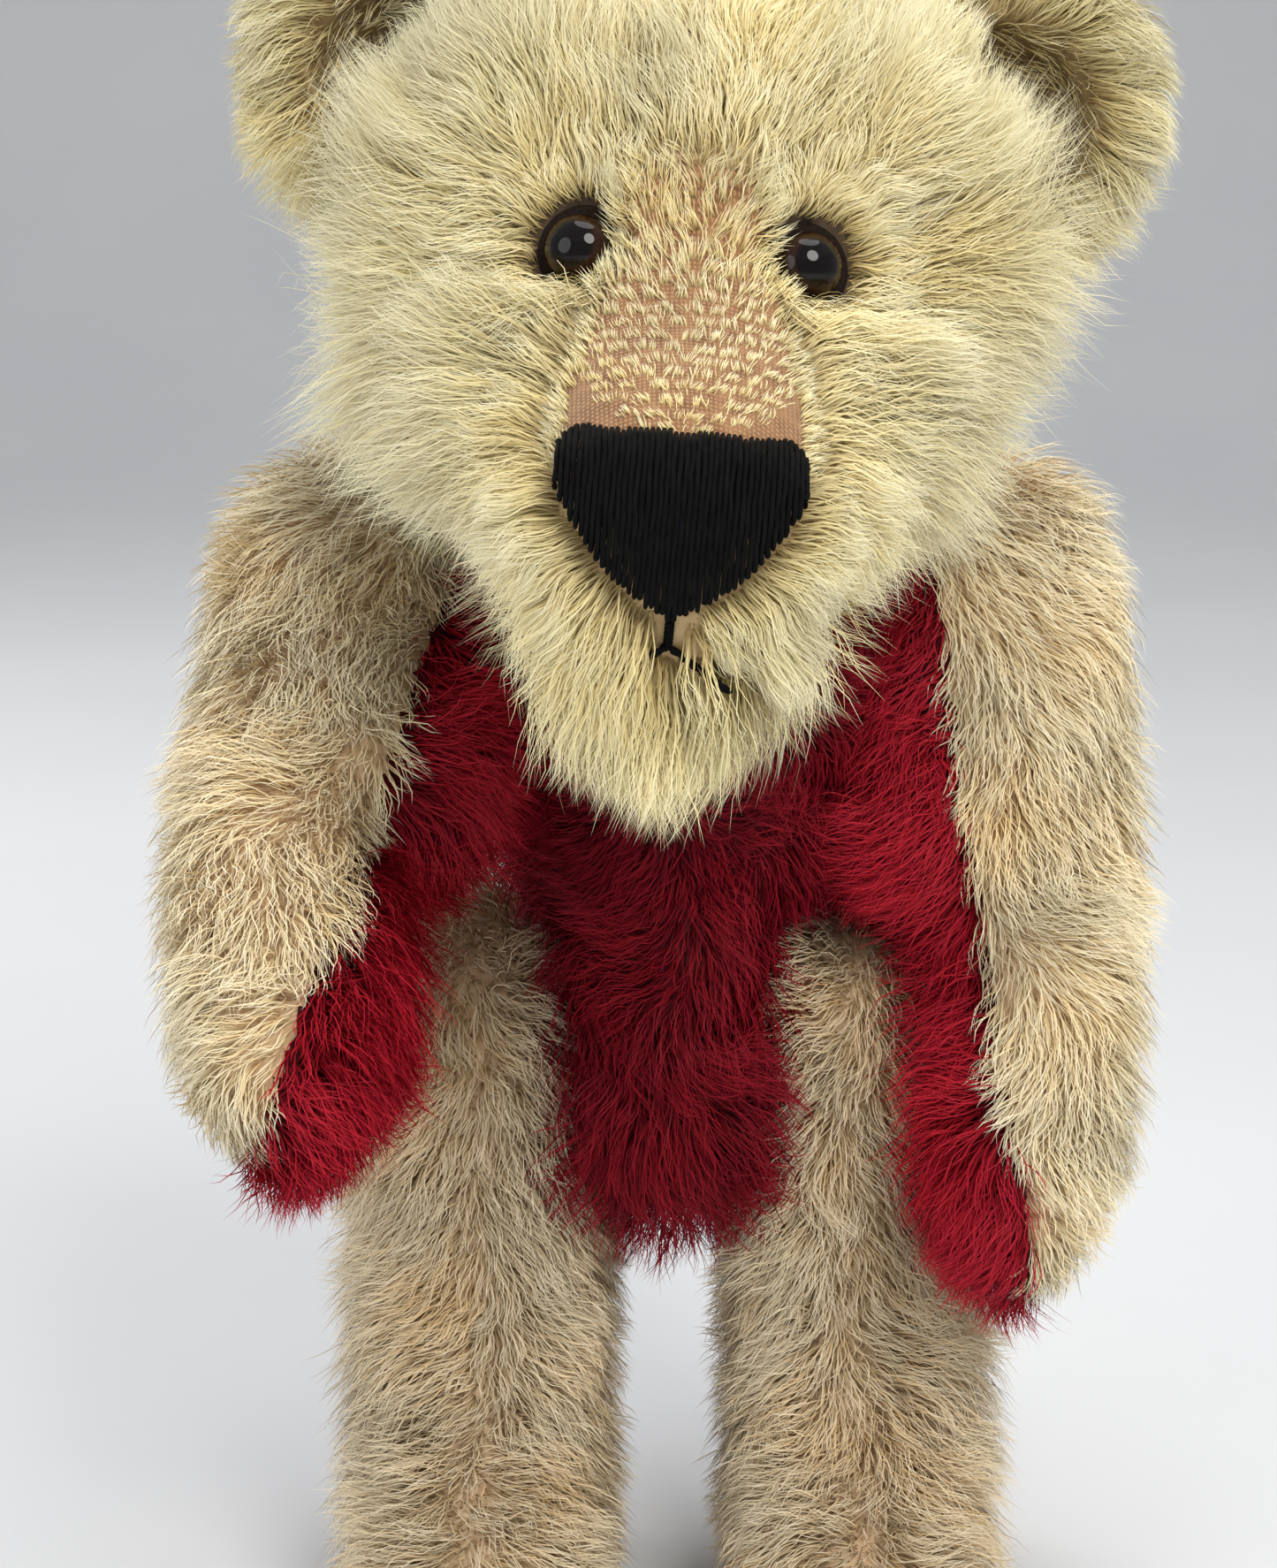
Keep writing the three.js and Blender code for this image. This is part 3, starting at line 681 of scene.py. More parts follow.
def stand_room():
    low, high = (np.array(corner) for corner in CAD_BOX)
    spare = (high - low) * SPARE_SHARE + SPARE_LENGTH
    floor_clear = 0.2 * MM
    low_limit = low - spare
    low_limit[2] = low[2] + floor_clear
    return low_limit, high + spare


SAMPLES = 5  # places tried for each strand


def fur(name, body, place, skin, pelt, count, style, seed):
    """Plants up to `count` strands. For local points and normals, `style` gives how thick, how long and which
    way the fur grows."""
    rng = np.random.default_rng(seed)

    def wanted(triangles):
        corners = place.local(triangles.reshape(-1, 3))
        facing = place.turn_in(np.repeat(unit(np.cross(
            triangles[:, 1] - triangles[:, 0], triangles[:, 2] - triangles[:, 0])), 3, axis=0))
        thickness = style(corners, facing)[0]
        return thickness.reshape(-1, 3).max(axis=1, initial=0) > 0.01

    roots, normals = scatter(skin, count * SAMPLES, rng, wanted)
    points, facing = place.local(roots), place.turn_in(normals)
    thickness, lengths, comb = style(points, facing)
    kept = np.nonzero(rng.random(len(roots)) < thickness)[0][:count]
    roots, normals = roots[kept], normals[kept]
    lengths = lengths[kept] * (1 - RAGGED * rng.random(len(kept)))
    paths = grow(roots, normals, place.turn_out(comb[kept]), lengths, pelt, rng)
    low, high = stand_room()
    paths = np.clip(paths, low, high)
    shade = 0.5 + 0.22 * ripple(roots, 0.03, seed + 5) + rng.normal(0, 0.16, len(roots))
    obj = ribbons(name, paths, normals, shade, pelt.width, rng)
    finish_piece(obj, pelt.material, body)


# ---- how each part's fur grows ----
NOSE_CENTRE = (0, 118 * MM, 44 * MM)  # in the head's axes
STRIP = ((0.045, 0.0105), (0.060, 0.0145), (0.078, 0.0195), (0.100, 0.0245), (0.135, 0.0260))
STRIP_LOW = 50 * MM
NOSE_LOW = 26.5 * MM  # the height of the nose's point


def strip_half(front):
    places, halves = zip(*STRIP)
    return np.interp(front, places, halves)


def eye_centres():
    return [HEAD.local(coordinates(NODES[f"eye_felt_{s}"].data)).mean(0) for s in SIDES]


def eye_distance(points):
    return np.min([np.linalg.norm(points - eye, axis=1) for eye in eye_centres()], axis=0)


def in_strip(points):
    """1 in the clipped strip on top of the muzzle, 0 well outside it."""
    across = smoothstep(1.5 * MM, -1.0 * MM, np.abs(points[:, 0]) - strip_half(points[:, 1]))
    ahead = smoothstep(44 * MM, 52 * MM, points[:, 1])
    above = smoothstep(STRIP_LOW - 3 * MM, STRIP_LOW + 3 * MM, points[:, 2])
    return across * ahead * above


def nose_top():
    points = HEAD.local(coordinates(NODES["nose_and_mouth_embroidery"].data))
    return points[np.abs(points[:, 0]) > 15 * MM][:, 2].max()


def on_nose(points):
    x, front, up = points.T
    top = nose_top()
    half = np.interp(up, (NOSE_LOW, NOSE_LOW + 18 * MM, top), (2 * MM, 21 * MM, 22 * MM))
    return (front > 96 * MM) & (np.abs(x) < half) & (up > NOSE_LOW + 2 * MM) & (up < top + 0.8 * MM)


def mouth_gap(points, mouth):
    """How far points are from the mouth's open stitches, and whether they are above them."""
    away = points[:, None] - mouth[None]
    reach = np.linalg.norm(away, axis=2)
    nearest = reach.argmin(1)
    rows = np.arange(len(points))
    return reach[rows, nearest], away[rows, nearest, 2] > 0


def from_eyes(points):
    """Directions away from the nearer eye, strong near it and nothing beyond 26 mm."""
    eyes = np.array(eye_centres())
    away = points[:, None] - eyes[None]
    reach = np.linalg.norm(away, axis=2)
    nearer = reach.argmin(1)
    rows = np.arange(len(points))
    return unit(away[rows, nearer]) * smoothstep(26 * MM, 10 * MM, reach[rows, nearer])[:, None]


def head_fur(points, facing, mouth):
    """Thickness, length in metres and comb of the head's long fur."""
    x, front, up = points.T
    beard = smoothstep(38 * MM, 20 * MM, up) * smoothstep(15 * MM, 50 * MM, front)
    beside = smoothstep(20 * MM, 34 * MM, np.abs(x)) * smoothstep(-5 * MM, 20 * MM, front)
    jaw = smoothstep(62 * MM, 35 * MM, up) * beside
    fuller = smoothstep(0, -25 * MM, x)
    gap, above = mouth_gap(points, mouth)
    over = above & (x > -3 * MM)
    length = head_length(points, facing, beard, jaw, fuller)
    length = length * (1 - 0.3 * smoothstep(6 * MM, 2 * MM, gap))
    length = length * (1 - 0.75 * over * smoothstep(17 * MM, 6 * MM, gap))
    comb = head_comb(points, beard, jaw, fuller)
    comb[:, 0] += 2.0 * over * smoothstep(17 * MM, 4 * MM, gap)
    brow = smoothstep(34 * MM, 12 * MM, np.abs(x)) * smoothstep(74 * MM, 80 * MM, up) * (front > 20 * MM)
    thickness = (1 - in_strip(points)) * (1 - 0.5 * brow) * (eye_distance(points) > 9.8 * MM)
    thickness = thickness * ~on_nose(points) * (up > 3 * MM) * (gap > 2.4 * MM) * ~(over & (gap < 5 * MM))
    return thickness, length * MM, comb


def head_length(points, facing, beard, jaw, fuller):
    """In millimetres: short by the eyes and the nose, long on the cheeks, and longest in the beard."""
    x, front, up = points.T
    reach = np.linalg.norm(points - np.array(NOSE_CENTRE), axis=1)
    length = 19 + 31 * smoothstep(22 * MM, 56 * MM, reach)
    crown = smoothstep(66 * MM, 90 * MM, up)
    length = length * (1 - crown) + 31 * crown
    length = np.where(front < 0, np.minimum(length, 31), length)
    length = length * (1 - beard) + (41 + 5 * smoothstep(0, 12 * MM, x)) * beard
    length = length + (13 + 8 * fuller) * jaw
    under = (facing[:, 2] < -0.4) & (front < 45 * MM)
    length = np.where(under, np.minimum(length, 26), length)
    length = length * (1 - 0.72 * smoothstep(30 * MM, 11 * MM, eye_distance(points)))
    bridge = smoothstep(9 * MM, 0, np.abs(x) - strip_half(front)) * smoothstep(50 * MM, 58 * MM, up)
    return length * (1 - 0.45 * bridge)


def head_comb(points, beard, jaw, fuller):
    """Away from the nose and the eyes, and down in the beard and along the jaw."""
    x, front, up = points.T
    away = points - np.array(NOSE_CENTRE)
    comb = unit(away * np.array([1.0, 0.35, 1.0])) + 1.6 * from_eyes(points)
    ahead = 0.38 * smoothstep(98 * MM, 114 * MM, front) - 0.15
    comb = comb * (1 - 0.5 * beard[:, None]) + vectors(1.1 * x / (30 * MM), ahead, -1.0) * beard[:, None]
    return comb + vectors((0.5 * np.sign(x) - 0.35 * fuller) * jaw, 0, -0.6 * jaw)


TUFT_ROW = 4.3 * MM
TUFT_COLUMN = 5.2 * MM


def muzzle_tufts(points, facing):
    """Short tufts on the clipped strip, in staggered rows of small Vs."""
    x, front, up = points.T
    bent = (front - up) / 1.15 + 0.5 * MM * ripple(points, 0.02, 3)
    across = x + 0.5 * MM * ripple(points, 0.02, 4)
    row = np.round(bent / TUFT_ROW)
    column = across / TUFT_COLUMN + 0.5 * (row % 2)
    beside = np.abs(column - np.round(column)) * TUFT_COLUMN
    arm = bent - row * TUFT_ROW - 0.6 * (beside - TUFT_COLUMN / 4)
    inside = in_strip(points) * ~on_nose(points)
    edge = smoothstep(4.5 * MM, 0, strip_half(front) - np.abs(x))
    tuft = (np.abs(arm) < 0.30 * MM) & (beside < 0.36 * TUFT_COLUMN)
    thickness = np.where(tuft, 1.0, 0.02 + 0.22 * edge) * (inside > 0.3)
    comb = vectors(0.35 * np.sign(x) * (1 + edge), -1, 0.4) + 0.5 * swirl(points, 15, 0.01)
    higher = smoothstep(84 * MM, 60 * MM, front)
    return thickness, (3.0 + 2.5 * edge + 4 * higher) * MM, comb


def ear_fur(side, cup):
    centre = HEAD.local(coordinates(NODES["ear_left" if side > 0 else "ear_right"].data)).mean(0)

    def style(points, facing):
        away = points - centre
        inside = (facing[:, 1] > 0.35) & (np.hypot(away[:, 0], away[:, 2]) < 20 * MM)
        rim = smoothstep(12 * MM, 26 * MM, np.hypot(away[:, 0], away[:, 2]))
        comb = away * np.array([1, 0.2, 1]) + np.array([side * 8 * MM, 0, -4 * MM])
        length = (12 + 16 * rim) * MM
        thickness = np.where(inside, 0.0 if not cup else 1.0, 1.0 if not cup else 0.0)
        outward = smoothstep(10 * MM, 28 * MM, away[:, 0] * side)
        length = length * (1 - 0.25 * outward) * (0.55 if cup else 1)
        return thickness * (0.3 if cup else 1), length, comb

    return style


def swirl(points, seed, size=0.035):
    """Directions in the front view that turn slowly from place to place, mostly downwards."""
    turn = 1.7 * ripple(points, size, seed)
    return vectors(np.sin(turn), 0, -np.cos(turn))


def torso_fur(front_side):
    def style(points, facing):
        x, front, up = points.T
        kept = (front > TORSO_SEAM) if front_side else (front <= TORSO_SEAM)
        hip = np.hypot(front, up - HIPS[2]) < 27 * MM
        shoulder = np.hypot(front, up - SHOULDERS[2]) < 24 * MM
        clamped = (hip & (np.abs(x) > 17 * MM)) | (shoulder & (np.abs(x) > 38 * MM))
        top = HEAD.local(TORSO.world(points))[:, 2] > -3 * MM
        hem = smoothstep(175 * MM, 110 * MM, up)
        waist = smoothstep(215 * MM, 185 * MM, up) * smoothstep(18 * MM, 26 * MM, np.abs(x)) * (1 - hem)
        length = (15 + 13 * hem + 8 * waist if front_side else 14 + 4 * hem) * MM
        comb = swirl(points, 11 if front_side else 12)
        comb = comb + vectors(0.9 * np.tanh(x / (10 * MM)), 0, -0.5) * np.maximum(hem, waist)[:, None]
        return kept * ~clamped * ~top, length, comb

    return style


def front_split(x, middle, spread):
    return np.tanh((x - middle) / spread)


# by side: where an arm's seam starts, its lean outwards going down, and its turn inwards going forward
ARM_SEAMS = {1: (59 * MM, 0.14, 0.0), -1: (50 * MM, 0.25, 0.25)}
LEG_SEAM = 43 * MM
TORSO_SEAM = -5 * MM  # how far forward of the hips the torso's side seams run


def arm_seam(side, front, up):
    start, lean, turn = ARM_SEAMS[side]
    return start - lean * up - turn * front


def arm_fur(side, outer):
    def style(points, facing):
        x, front, up = points.T
        seam = arm_seam(side, front, up)
        kept = (x >= seam) if outer else (x < seam)
        clamped = (x < 47 * MM) & (np.hypot(front, up) < 24 * MM)
        ahead = smoothstep(0, 12 * MM, front)
        apart = front_split(x, seam, 6 * MM)
        comb = vectors(0.7 * apart * ahead, -0.25 * np.abs(apart), -1) + 0.9 * swirl(points, 21)
        paw = smoothstep(-120 * MM, -155 * MM, up)
        if outer:
            length = 18 - 4 * paw
        else:
            length = 16 + 13 * smoothstep(-35 * MM, -70 * MM, up) * (1 - 0.6 * paw)
            comb = comb + vectors(-0.7, 0 * x, 0)
        at_seam = smoothstep(5 * MM, 0, np.abs(x - seam))
        return kept * ~clamped, length * (1 - 0.3 * at_seam) * MM, comb

    return style


def leg_fur(outer):
    def style(points, facing):
        x, front, up = points.T
        kept = (x >= LEG_SEAM) if outer else (x < LEG_SEAM)
        clamped = (x < 25 * MM) & (np.hypot(front, up - HIPS[2]) < 27 * MM)
        ahead = smoothstep(-5 * MM, 12 * MM, front)
        apart = front_split(x, LEG_SEAM, 7 * MM)
        comb = vectors(1.0 * apart * ahead, 0.1, -0.9) + 0.75 * swirl(points, 41)
        foot = smoothstep(14 * MM, 3 * MM, up)
        at_seam = smoothstep(7 * MM, 0, np.abs(x - LEG_SEAM)) * ahead
        outside = smoothstep(46 * MM, 60 * MM, x)
        length = (19 + 8 * outside - 10 * foot) * (1 - 0.4 * at_seam)
        comb = comb + vectors(0, 0, 0.9 * foot)
        bare = (up < 5 * MM) & (facing[:, 2] < -0.5)
        return kept * ~clamped * ~bare, length * MM, comb

    return style


# ---- face ----
THREADS = 44
THREAD_RADIUS = 0.62 * MM
MUZZLE_AXIS = (0.0, 92 * MM, 44 * MM)  # the nose is wrapped round this line, in the head's axes


def tree_of(objects, place):
    points, faces, start = [], [], 0
    for obj in objects:
        here = place.local(coordinates(obj.data))
        points.append(here)
        faces += [[v + start for v in face.vertices] for face in obj.data.polygons]
        start += len(here)
    return BVHTree.FromPolygons(np.concatenate(points).tolist(), faces)


def resample(path, count):
    steps = np.linspace(0, len(path) - 1, count)
    return np.stack([np.interp(steps, np.arange(len(path)), path[:, k]) for k in range(3)], axis=1)


def tubes(name, paths, radius, sides=6):
    """Closed round threads along paths that all have the same number of points."""
    paths = np.array(paths)
    count, rings = paths.shape[:2]
    run = unit(np.gradient(paths, axis=1))
    guide = unit(np.cross(run, np.array([0.31, 0.17, 0.93])))
    other = np.cross(run, guide)
    turns = np.arange(sides) / sides * math.tau
    ends = np.ones(rings)
    ends[[0, -1]] = 0.75
    around = guide[:, :, None] * np.cos(turns)[:, None] + other[:, :, None] * np.sin(turns)[:, None]
    points = paths[:, :, None] + around * radius * ends[None, :, None, None]
    offsets = np.arange(count)[:, None, None] * rings * sides
    quads = (ring_quads(rings, sides)[None] + offsets).reshape(-1, 4)
    cap = np.arange(sides)
    caps = np.array([cap[::-1], cap + (rings - 1) * sides])
    caps = (caps[None] + offsets).reshape(-1, sides)
    return new_object(name, make_mesh(name, points.reshape(-1, 3), [quads, caps]))


def nose_threads():
    """Satin stitches from the nose's lower edge to its upper edge, side by side over the raised pad."""
    tree = tree_of([NODES["nose_and_mouth_embroidery"]], HEAD)
    centre = np.array(MUZZLE_AXIS)
    paths = []
    for x in np.linspace(-23.6, 23.6, THREADS) * MM:
        hits = []
        for angle in np.radians(np.linspace(-60, 88, 75)):
            outward = Vector((0, math.cos(angle), math.sin(angle)))
            start = Vector(centre + np.array([x, 0, 0])) + outward * 0.08
            hit = tree.ray_cast(start, -outward, 0.08)[0]
            if hit is not None and hit.z > NOSE_LOW - 0.5 * MM:
                hits.append(np.array(hit))
        if len(hits) < 4:
            continue
        path = resample(np.array(hits), 14)
        inward = unit(centre + np.array([x, 0, 0]) - path)
        depth = np.zeros(len(path))
        depth[[0, -1]] = 1.6 * MM
        paths.append(path + inward * depth[:, None])
    rng = np.random.default_rng(5)
    paths = np.array(paths)
    paths[:, 1:-1, 0] += rng.normal(0, 0.09 * MM, (len(paths), paths.shape[1] - 2))
    paths = np.array([HEAD.world(path) for path in paths])
    threads = tubes("nose_threads", paths, THREAD_RADIUS)
    finish_piece(threads, "thread", "head")
    return threads


MOUTH_DROP = 3.5 * MM
MOUTH_FALL = 8.0 * MM
MOUTH_SPREAD = 12.5 * MM
LOOK = math.radians(30)  # how far from above the mouth is drawn


def mouth_paths(skin):
    """The middle stitch, the left half and the right half of the mouth, in the head's axes."""
    tree = tree_of([skin], HEAD)
    nose = tree_of([NODES["nose_and_mouth_embroidery"]], HEAD)
    into = np.array([0, -math.cos(LOOK), -math.sin(LOOK)])
    rise = np.array([0, -math.sin(LOOK), math.cos(LOOK)])
    low = NOSE_LOW + 0.7 * MM
    tip = np.array(nose.ray_cast(Vector((0, 0.3, low)), Vector((0, -1, 0)))[0]) @ rise
    middle = []
    for v in np.linspace(tip + MM, tip - MOUTH_DROP, 12):
        hit = tree.ray_cast(Vector(rise * v - into * 0.4), Vector(into), 0.6)[0]
        middle.append(np.array(hit) - into * 0.6 * MM)
    fork = middle[-1]
    t = np.linspace(0, 1, 12)[:, None]
    half = -rise * MOUTH_FALL * t + into * 1.5 * MM * t ** 2
    left = fork + half + np.array([MOUTH_SPREAD, 0, 0]) * t
    right = fork + half - np.array([MOUTH_SPREAD, 0, 0]) * t
    return [np.array(middle), left, right]


def mouth_threads(lines):
    """Two twisted strands along each part of the mouth."""
    paths = []
    for line in lines:
        for phase in (0, math.pi):
            turn = np.linspace(0, 3.2 * math.tau, 40) + phase
            fine = resample(line, 40)
            fine[:, 0] += 0.45 * MM * np.cos(turn)
            fine[:, 1] += 0.45 * MM * np.sin(turn)
            paths.append(HEAD.world(fine))
    threads = tubes("mouth_threads", paths, 0.6 * MM)
    finish_piece(threads, "thread", "head")
    return threads


def lathe(name, profile, centre, axis, sides=48):
    """A closed turned form. The profile's first and last points are on the axis."""
    axis = unit(np.array(axis, float))
    right = unit(np.cross(axis, np.array([0, 0.2, 1.0])))
    other = np.cross(axis, right)
    turns = np.arange(sides) / sides * math.tau
    middle = profile[1:-1]
    rings = [
        np.array(centre) + axis * h + r * (np.cos(turns)[:, None] * right + np.sin(turns)[:, None] * other)
        for r, h in middle
    ]
    first = np.array(centre) + axis * profile[0][1]
    last = np.array(centre) + axis * profile[-1][1]
    points = np.concatenate([*rings, [first], [last]])
    a = np.arange(sides)
    b = (a + 1) % sides
    end = len(middle) * sides
    fans = [np.stack([b, a, np.full(sides, end)], 1)]
    fans.append(np.stack([a + end - sides, b + end - sides, np.full(sides, end + 1)], 1))
    mesh = make_mesh(name, points, [ring_quads(len(middle), sides), np.concatenate(fans)])
    return new_object(name, mesh)


def felt_axis(side):
    points = coordinates(NODES[f"eye_felt_{side}"].data)
    centre = points.mean(0)
    axis = np.linalg.svd(points - centre, full_matrices=False)[2][2]
    if axis @ HEAD.axes[1] < 0:
        axis = -axis
    return centre, axis


FELT_PROFILE = [(0, -0.8), (8.8, -0.8), (9.2, -0.3), (9.2, 0.2), (8.7, 0.6), (0, 0.5)]  # radius, height: mm


def eyes():
    for side in SIDES:
        centre, axis = felt_axis(side)
        height, reach = from_axis(coordinates(NODES[f"eye_{side}"].data), centre, axis)
        radius = reach.max()
        back, top = height.min(), height.max() + 0.6 * MM
        base = 0.9 * MM
        dome = [
            (radius * math.cos(t), base + (top - base) * math.sin(t)) for t in np.linspace(0, math.pi / 2, 12)
        ]
        shank, under = 1.2 * MM, base - 0.3 * MM
        profile = [(0, back), (shank, back), (shank, under), (radius * 0.93, under), *dome[:-1], (0, top)]
        bead = lathe(f"glass_eye_{side}", profile, centre, axis)
        bead.data.materials.append(eye_glass(f"eye_glass_{side}", centre + axis * top, radius))
        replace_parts(bead, f"eye_{side}")
        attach(bead, "head")
        rim = [(r * MM, h * MM) for r, h in FELT_PROFILE]
        disc = lathe(f"eye_felt_disc_{side}", rim, centre, axis)
        finish_piece(disc, "felt", "head")
        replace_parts(disc, f"eye_felt_{side}")


def eye_glass(name, front, radius):
    """Dark brown glass: a black pupil in a brown ring."""
    material, tree, shader = new_material(name, 0.05, Specular_IOR_Level=0.3)
    place = tree.nodes.new("ShaderNodeTexCoord")
    reach = tree.nodes.new("ShaderNodeVectorMath")
    reach.operation = "DISTANCE"
    reach.inputs[1].default_value = tuple(front)
    tree.links.new(place.outputs["Object"], reach.inputs[0])
    share = maths(tree, "DIVIDE", reach.outputs["Value"], 1.35 * radius)
    stops = [(0.0, (0.002, 0.001, 0.001)), (0.50, (0.003, 0.001, 0.001)), (0.58, (0.022, 0.007, 0.002)),
             (0.80, (0.012, 0.004, 0.001)), (0.95, (0.003, 0.001, 0.001))]
    tree.links.new(ramp(tree, share, stops), shader.inputs["Base Color"])
    return material


# ---- putting it together ----
def finish_piece(obj, material, body):
    obj.data.materials.append(MATERIALS[material])
    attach(obj, body)


HIDDEN = {
    "_stuffing": "stuffing",
    "_disc": "hardboard",
    "_washer": "zinc",
    "_bolt": "zinc",
    "_lock_nut": "zinc",
    "_insole_board": "card",
}


def finish_hidden_nodes():
    for name, obj in NODES.items():
        for ending, material in HIDDEN.items():
            if name.endswith(ending):
                obj.data.materials.clear()
                obj.data.materials.append(MATERIALS[material])


def make_skins():
    head = ["head_gusset", "head_side_left", "head_side_right", "head_stuffing"]
    skins = {
        "head_skin": skin_blank("head_skin", head),
        "torso_skin": skin_blank("torso_skin", ["torso_front", "torso_back", "torso_stuffing"]),
    }
    for side in SIDES:
        for limb in ("arm", "leg"):
            name = f"{limb}_{side}"
            nodes = [f"{name}_{part}" for part in ("outer", "inner", "stuffing")]
            skins[f"{name}_skin"] = skin_blank(f"{name}_skin", nodes)
        skins[f"ear_{side}_skin"] = skin_blank(f"ear_{side}_skin", [f"ear_{side}"], 2.5 * MM)
    return skins


HIP_BOARD = near_axis(HIPS, 26 * MM, 24 * MM)
SHOULDER_BOARD = near_axis(SHOULDERS, 48 * MM, 24 * MM)
NECK_BOARD = near_axis(NECK, 6 * MM, 30 * MM, HEAD.axes[2])
BOARDS = either(HIP_BOARD, SHOULDER_BOARD, NECK_BOARD)


def cover_all(skins):
    for name, skin in skins.items():
        stuffing = name.replace("_skin", "_stuffing")
        if stuffing in NODES:
            cover(skin, stuffing, BOARDS)


def on_muzzle(points):
    return HEAD.local(points)[:, 1] > 104 * MM


def on_sole(points):
    return points[:, 2] < 7 * MM


def nowhere(points):
    return points[:, 2] < 0


def stuff_all(skins):
    jobs = {
        skins["head_skin"]: (2.5 * MM, either(NECK_BOARD, on_muzzle)),
        skins["torso_skin"]: (3 * MM, BOARDS),
    }
    for side in SIDES:
        jobs[skins[f"arm_{side}_skin"]] = (2 * MM, SHOULDER_BOARD)
        jobs[skins[f"leg_{side}_skin"]] = (2 * MM, either(HIP_BOARD, on_sole))
        jobs[skins[f"ear_{side}_skin"]] = (1 * MM, nowhere)
    stuff(jobs)


def cover(skin, stuffing, held, room=1.8 * MM):
    """Lets the skin out where it would sink into the stuffing, except where a joint's boards hold it."""
    tree = tree_of([NODES[stuffing]], Place((0, 0, 0), (1, 0, 0), (0, 1, 0), (0, 0, 1)))
    points = coordinates(skin.data)
    free = ~held(points)
    for i in np.nonzero(free)[0]:
        nearest, normal, _, distance = tree.find_nearest(Vector(points[i]), 6 * MM)
        if nearest is None:
            continue
        height = (Vector(points[i]) - nearest).dot(normal)
        if height < room:
            points[i] = nearest + normal * room
    set_coordinates(skin.data, points)


CHIN = np.array((0, 117 * MM, 22 * MM))  # in the head's axes
CHIN_SIZE = 12 * MM


def shape_chin(skin):
    """Fills out the underside of the muzzle, where the mouth's stitches lie."""
    points = HEAD.local(coordinates(skin.data))
    reach = np.linalg.norm((points - CHIN) / np.array([1.3, 1.1, 0.8]), axis=1)
    share = np.exp(-0.5 * (reach / CHIN_SIZE) ** 2) * smoothstep(32 * MM, 22 * MM, points[:, 2])
    points += np.array([0, 4.0, -9.5]) * MM * share[:, None]
    set_coordinates(skin.data, HEAD.world(points))


def press_eye_sockets(skin):
    """Draws the skin down under the felts, as the eyes' shanks do when they are pulled in."""
    points = coordinates(skin.data)
    for side in SIDES:
        centre, axis = felt_axis(side)
        height, reach = from_axis(points, centre, axis)
        limit = -1.0 * MM + 6 * MM * smoothstep(9.5 * MM, 17 * MM, reach)
        near = (reach < 17 * MM) & (height > -15 * MM)
        points -= axis * np.where(near, np.maximum(height - limit, 0), 0)[:, None]
    set_coordinates(skin.data, points)


def paint_head(skin):
    def chooser(centres, facing):
        points = HEAD.local(centres)
        strip = in_strip(points) > 0.5
        # faces within 13 mm of an eye, outside the strip, get the painted shade of the eye sockets
        return np.where((eye_distance(points) < 13 * MM) & ~strip, 2, strip)

    paint(skin, ["blond_ground", "clipped_cloth", "eye_socket_painted_shade"], chooser)


def paint_ear(skin, side):
    """Painted shade inside the cup: a darker colour on the cloth that faces forwards there."""
    centre = HEAD.local(coordinates(NODES[f"ear_{side}"].data)).mean(0)

    def chooser(centres, facing):
        away = HEAD.local(centres) - centre
        return (HEAD.turn_in(facing)[:, 1] > 0.35) & (np.hypot(away[:, 0], away[:, 2]) < 22 * MM)

    paint(skin, ["blond_ground", "ear_cup_painted_shade"], chooser)


def paint_torso(skin):
    def chooser(centres, facing):
        return centres[:, 1] > HIPS[1] - TORSO_SEAM

    paint(skin, ["red_ground", "cream_ground"], chooser)


def paint_arm(skin, side):
    def chooser(centres, facing):
        x, front, up = arm_place(side).local(centres).T
        return x >= arm_seam(side, front, up)

    paint(skin, ["red_ground", "cream_ground"], chooser)


def declare_skin(skin, slot, body, *nodes):
    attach(skin, body)
    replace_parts(skin, *nodes)


FINE, COARSE = 0.28 * MM, 0.36 * MM
BLOND = ("blond_pelt", "blond_mohair", 6, FINE)
CREAM = ("cream_pelt", "cream_mohair", 5, COARSE)
CHEEK_PELT = Pelt(*BLOND, lift=0.55, droop=0.65, wander=0.45, wave=1.6 * MM, clump=0.55, lock=7 * MM)
BROW_PELT = Pelt(*BLOND, lift=0.50, droop=0.12, wander=0.45, wave=1.4 * MM, clump=0.65, lock=6 * MM)
BACK_PELT = Pelt(*BLOND, lift=0.45, droop=0.45, wander=0.5, wave=1.4 * MM, clump=0.55, lock=7 * MM)
EAR_PELT = Pelt(*BLOND, lift=0.42, droop=0.60, wander=0.5, wave=1.4 * MM, clump=0.6, lock=6 * MM)
TUFT_PELT = Pelt("blond_pelt", "clipped_cloth", 3, 0.26 * MM,
                 lift=0.5, droop=0.0, wander=0.7, wave=0.1 * MM, clump=0.5, lock=2 * MM)
# Painted light and shade: the torso's front and the arms' inner sides are one red mohair, given as a darker
# copy and a lighter copy
SHADED_RED_PELT = Pelt("shaded_red_pelt", "red_mohair", 5, COARSE,
                lift=0.45, droop=0.15, wander=0.9, wave=1.2 * MM, clump=0.5, lock=5 * MM)
LIT_RED_PELT = Pelt("lit_red_pelt", "red_mohair", 5, COARSE,
                       lift=0.55, droop=0.2, wander=0.9, wave=1.2 * MM, clump=0.5, lock=5 * MM)
CREAM_PELT = Pelt(*CREAM, lift=0.48, droop=0.25, wander=0.7, wave=1.2 * MM, clump=0.5, lock=5 * MM)
LEG_PELT = Pelt("leg_pelt", "cream_mohair", 5, COARSE,
                lift=0.62, droop=0.25, wander=0.8, wave=1.4 * MM, clump=0.55, lock=6 * MM)

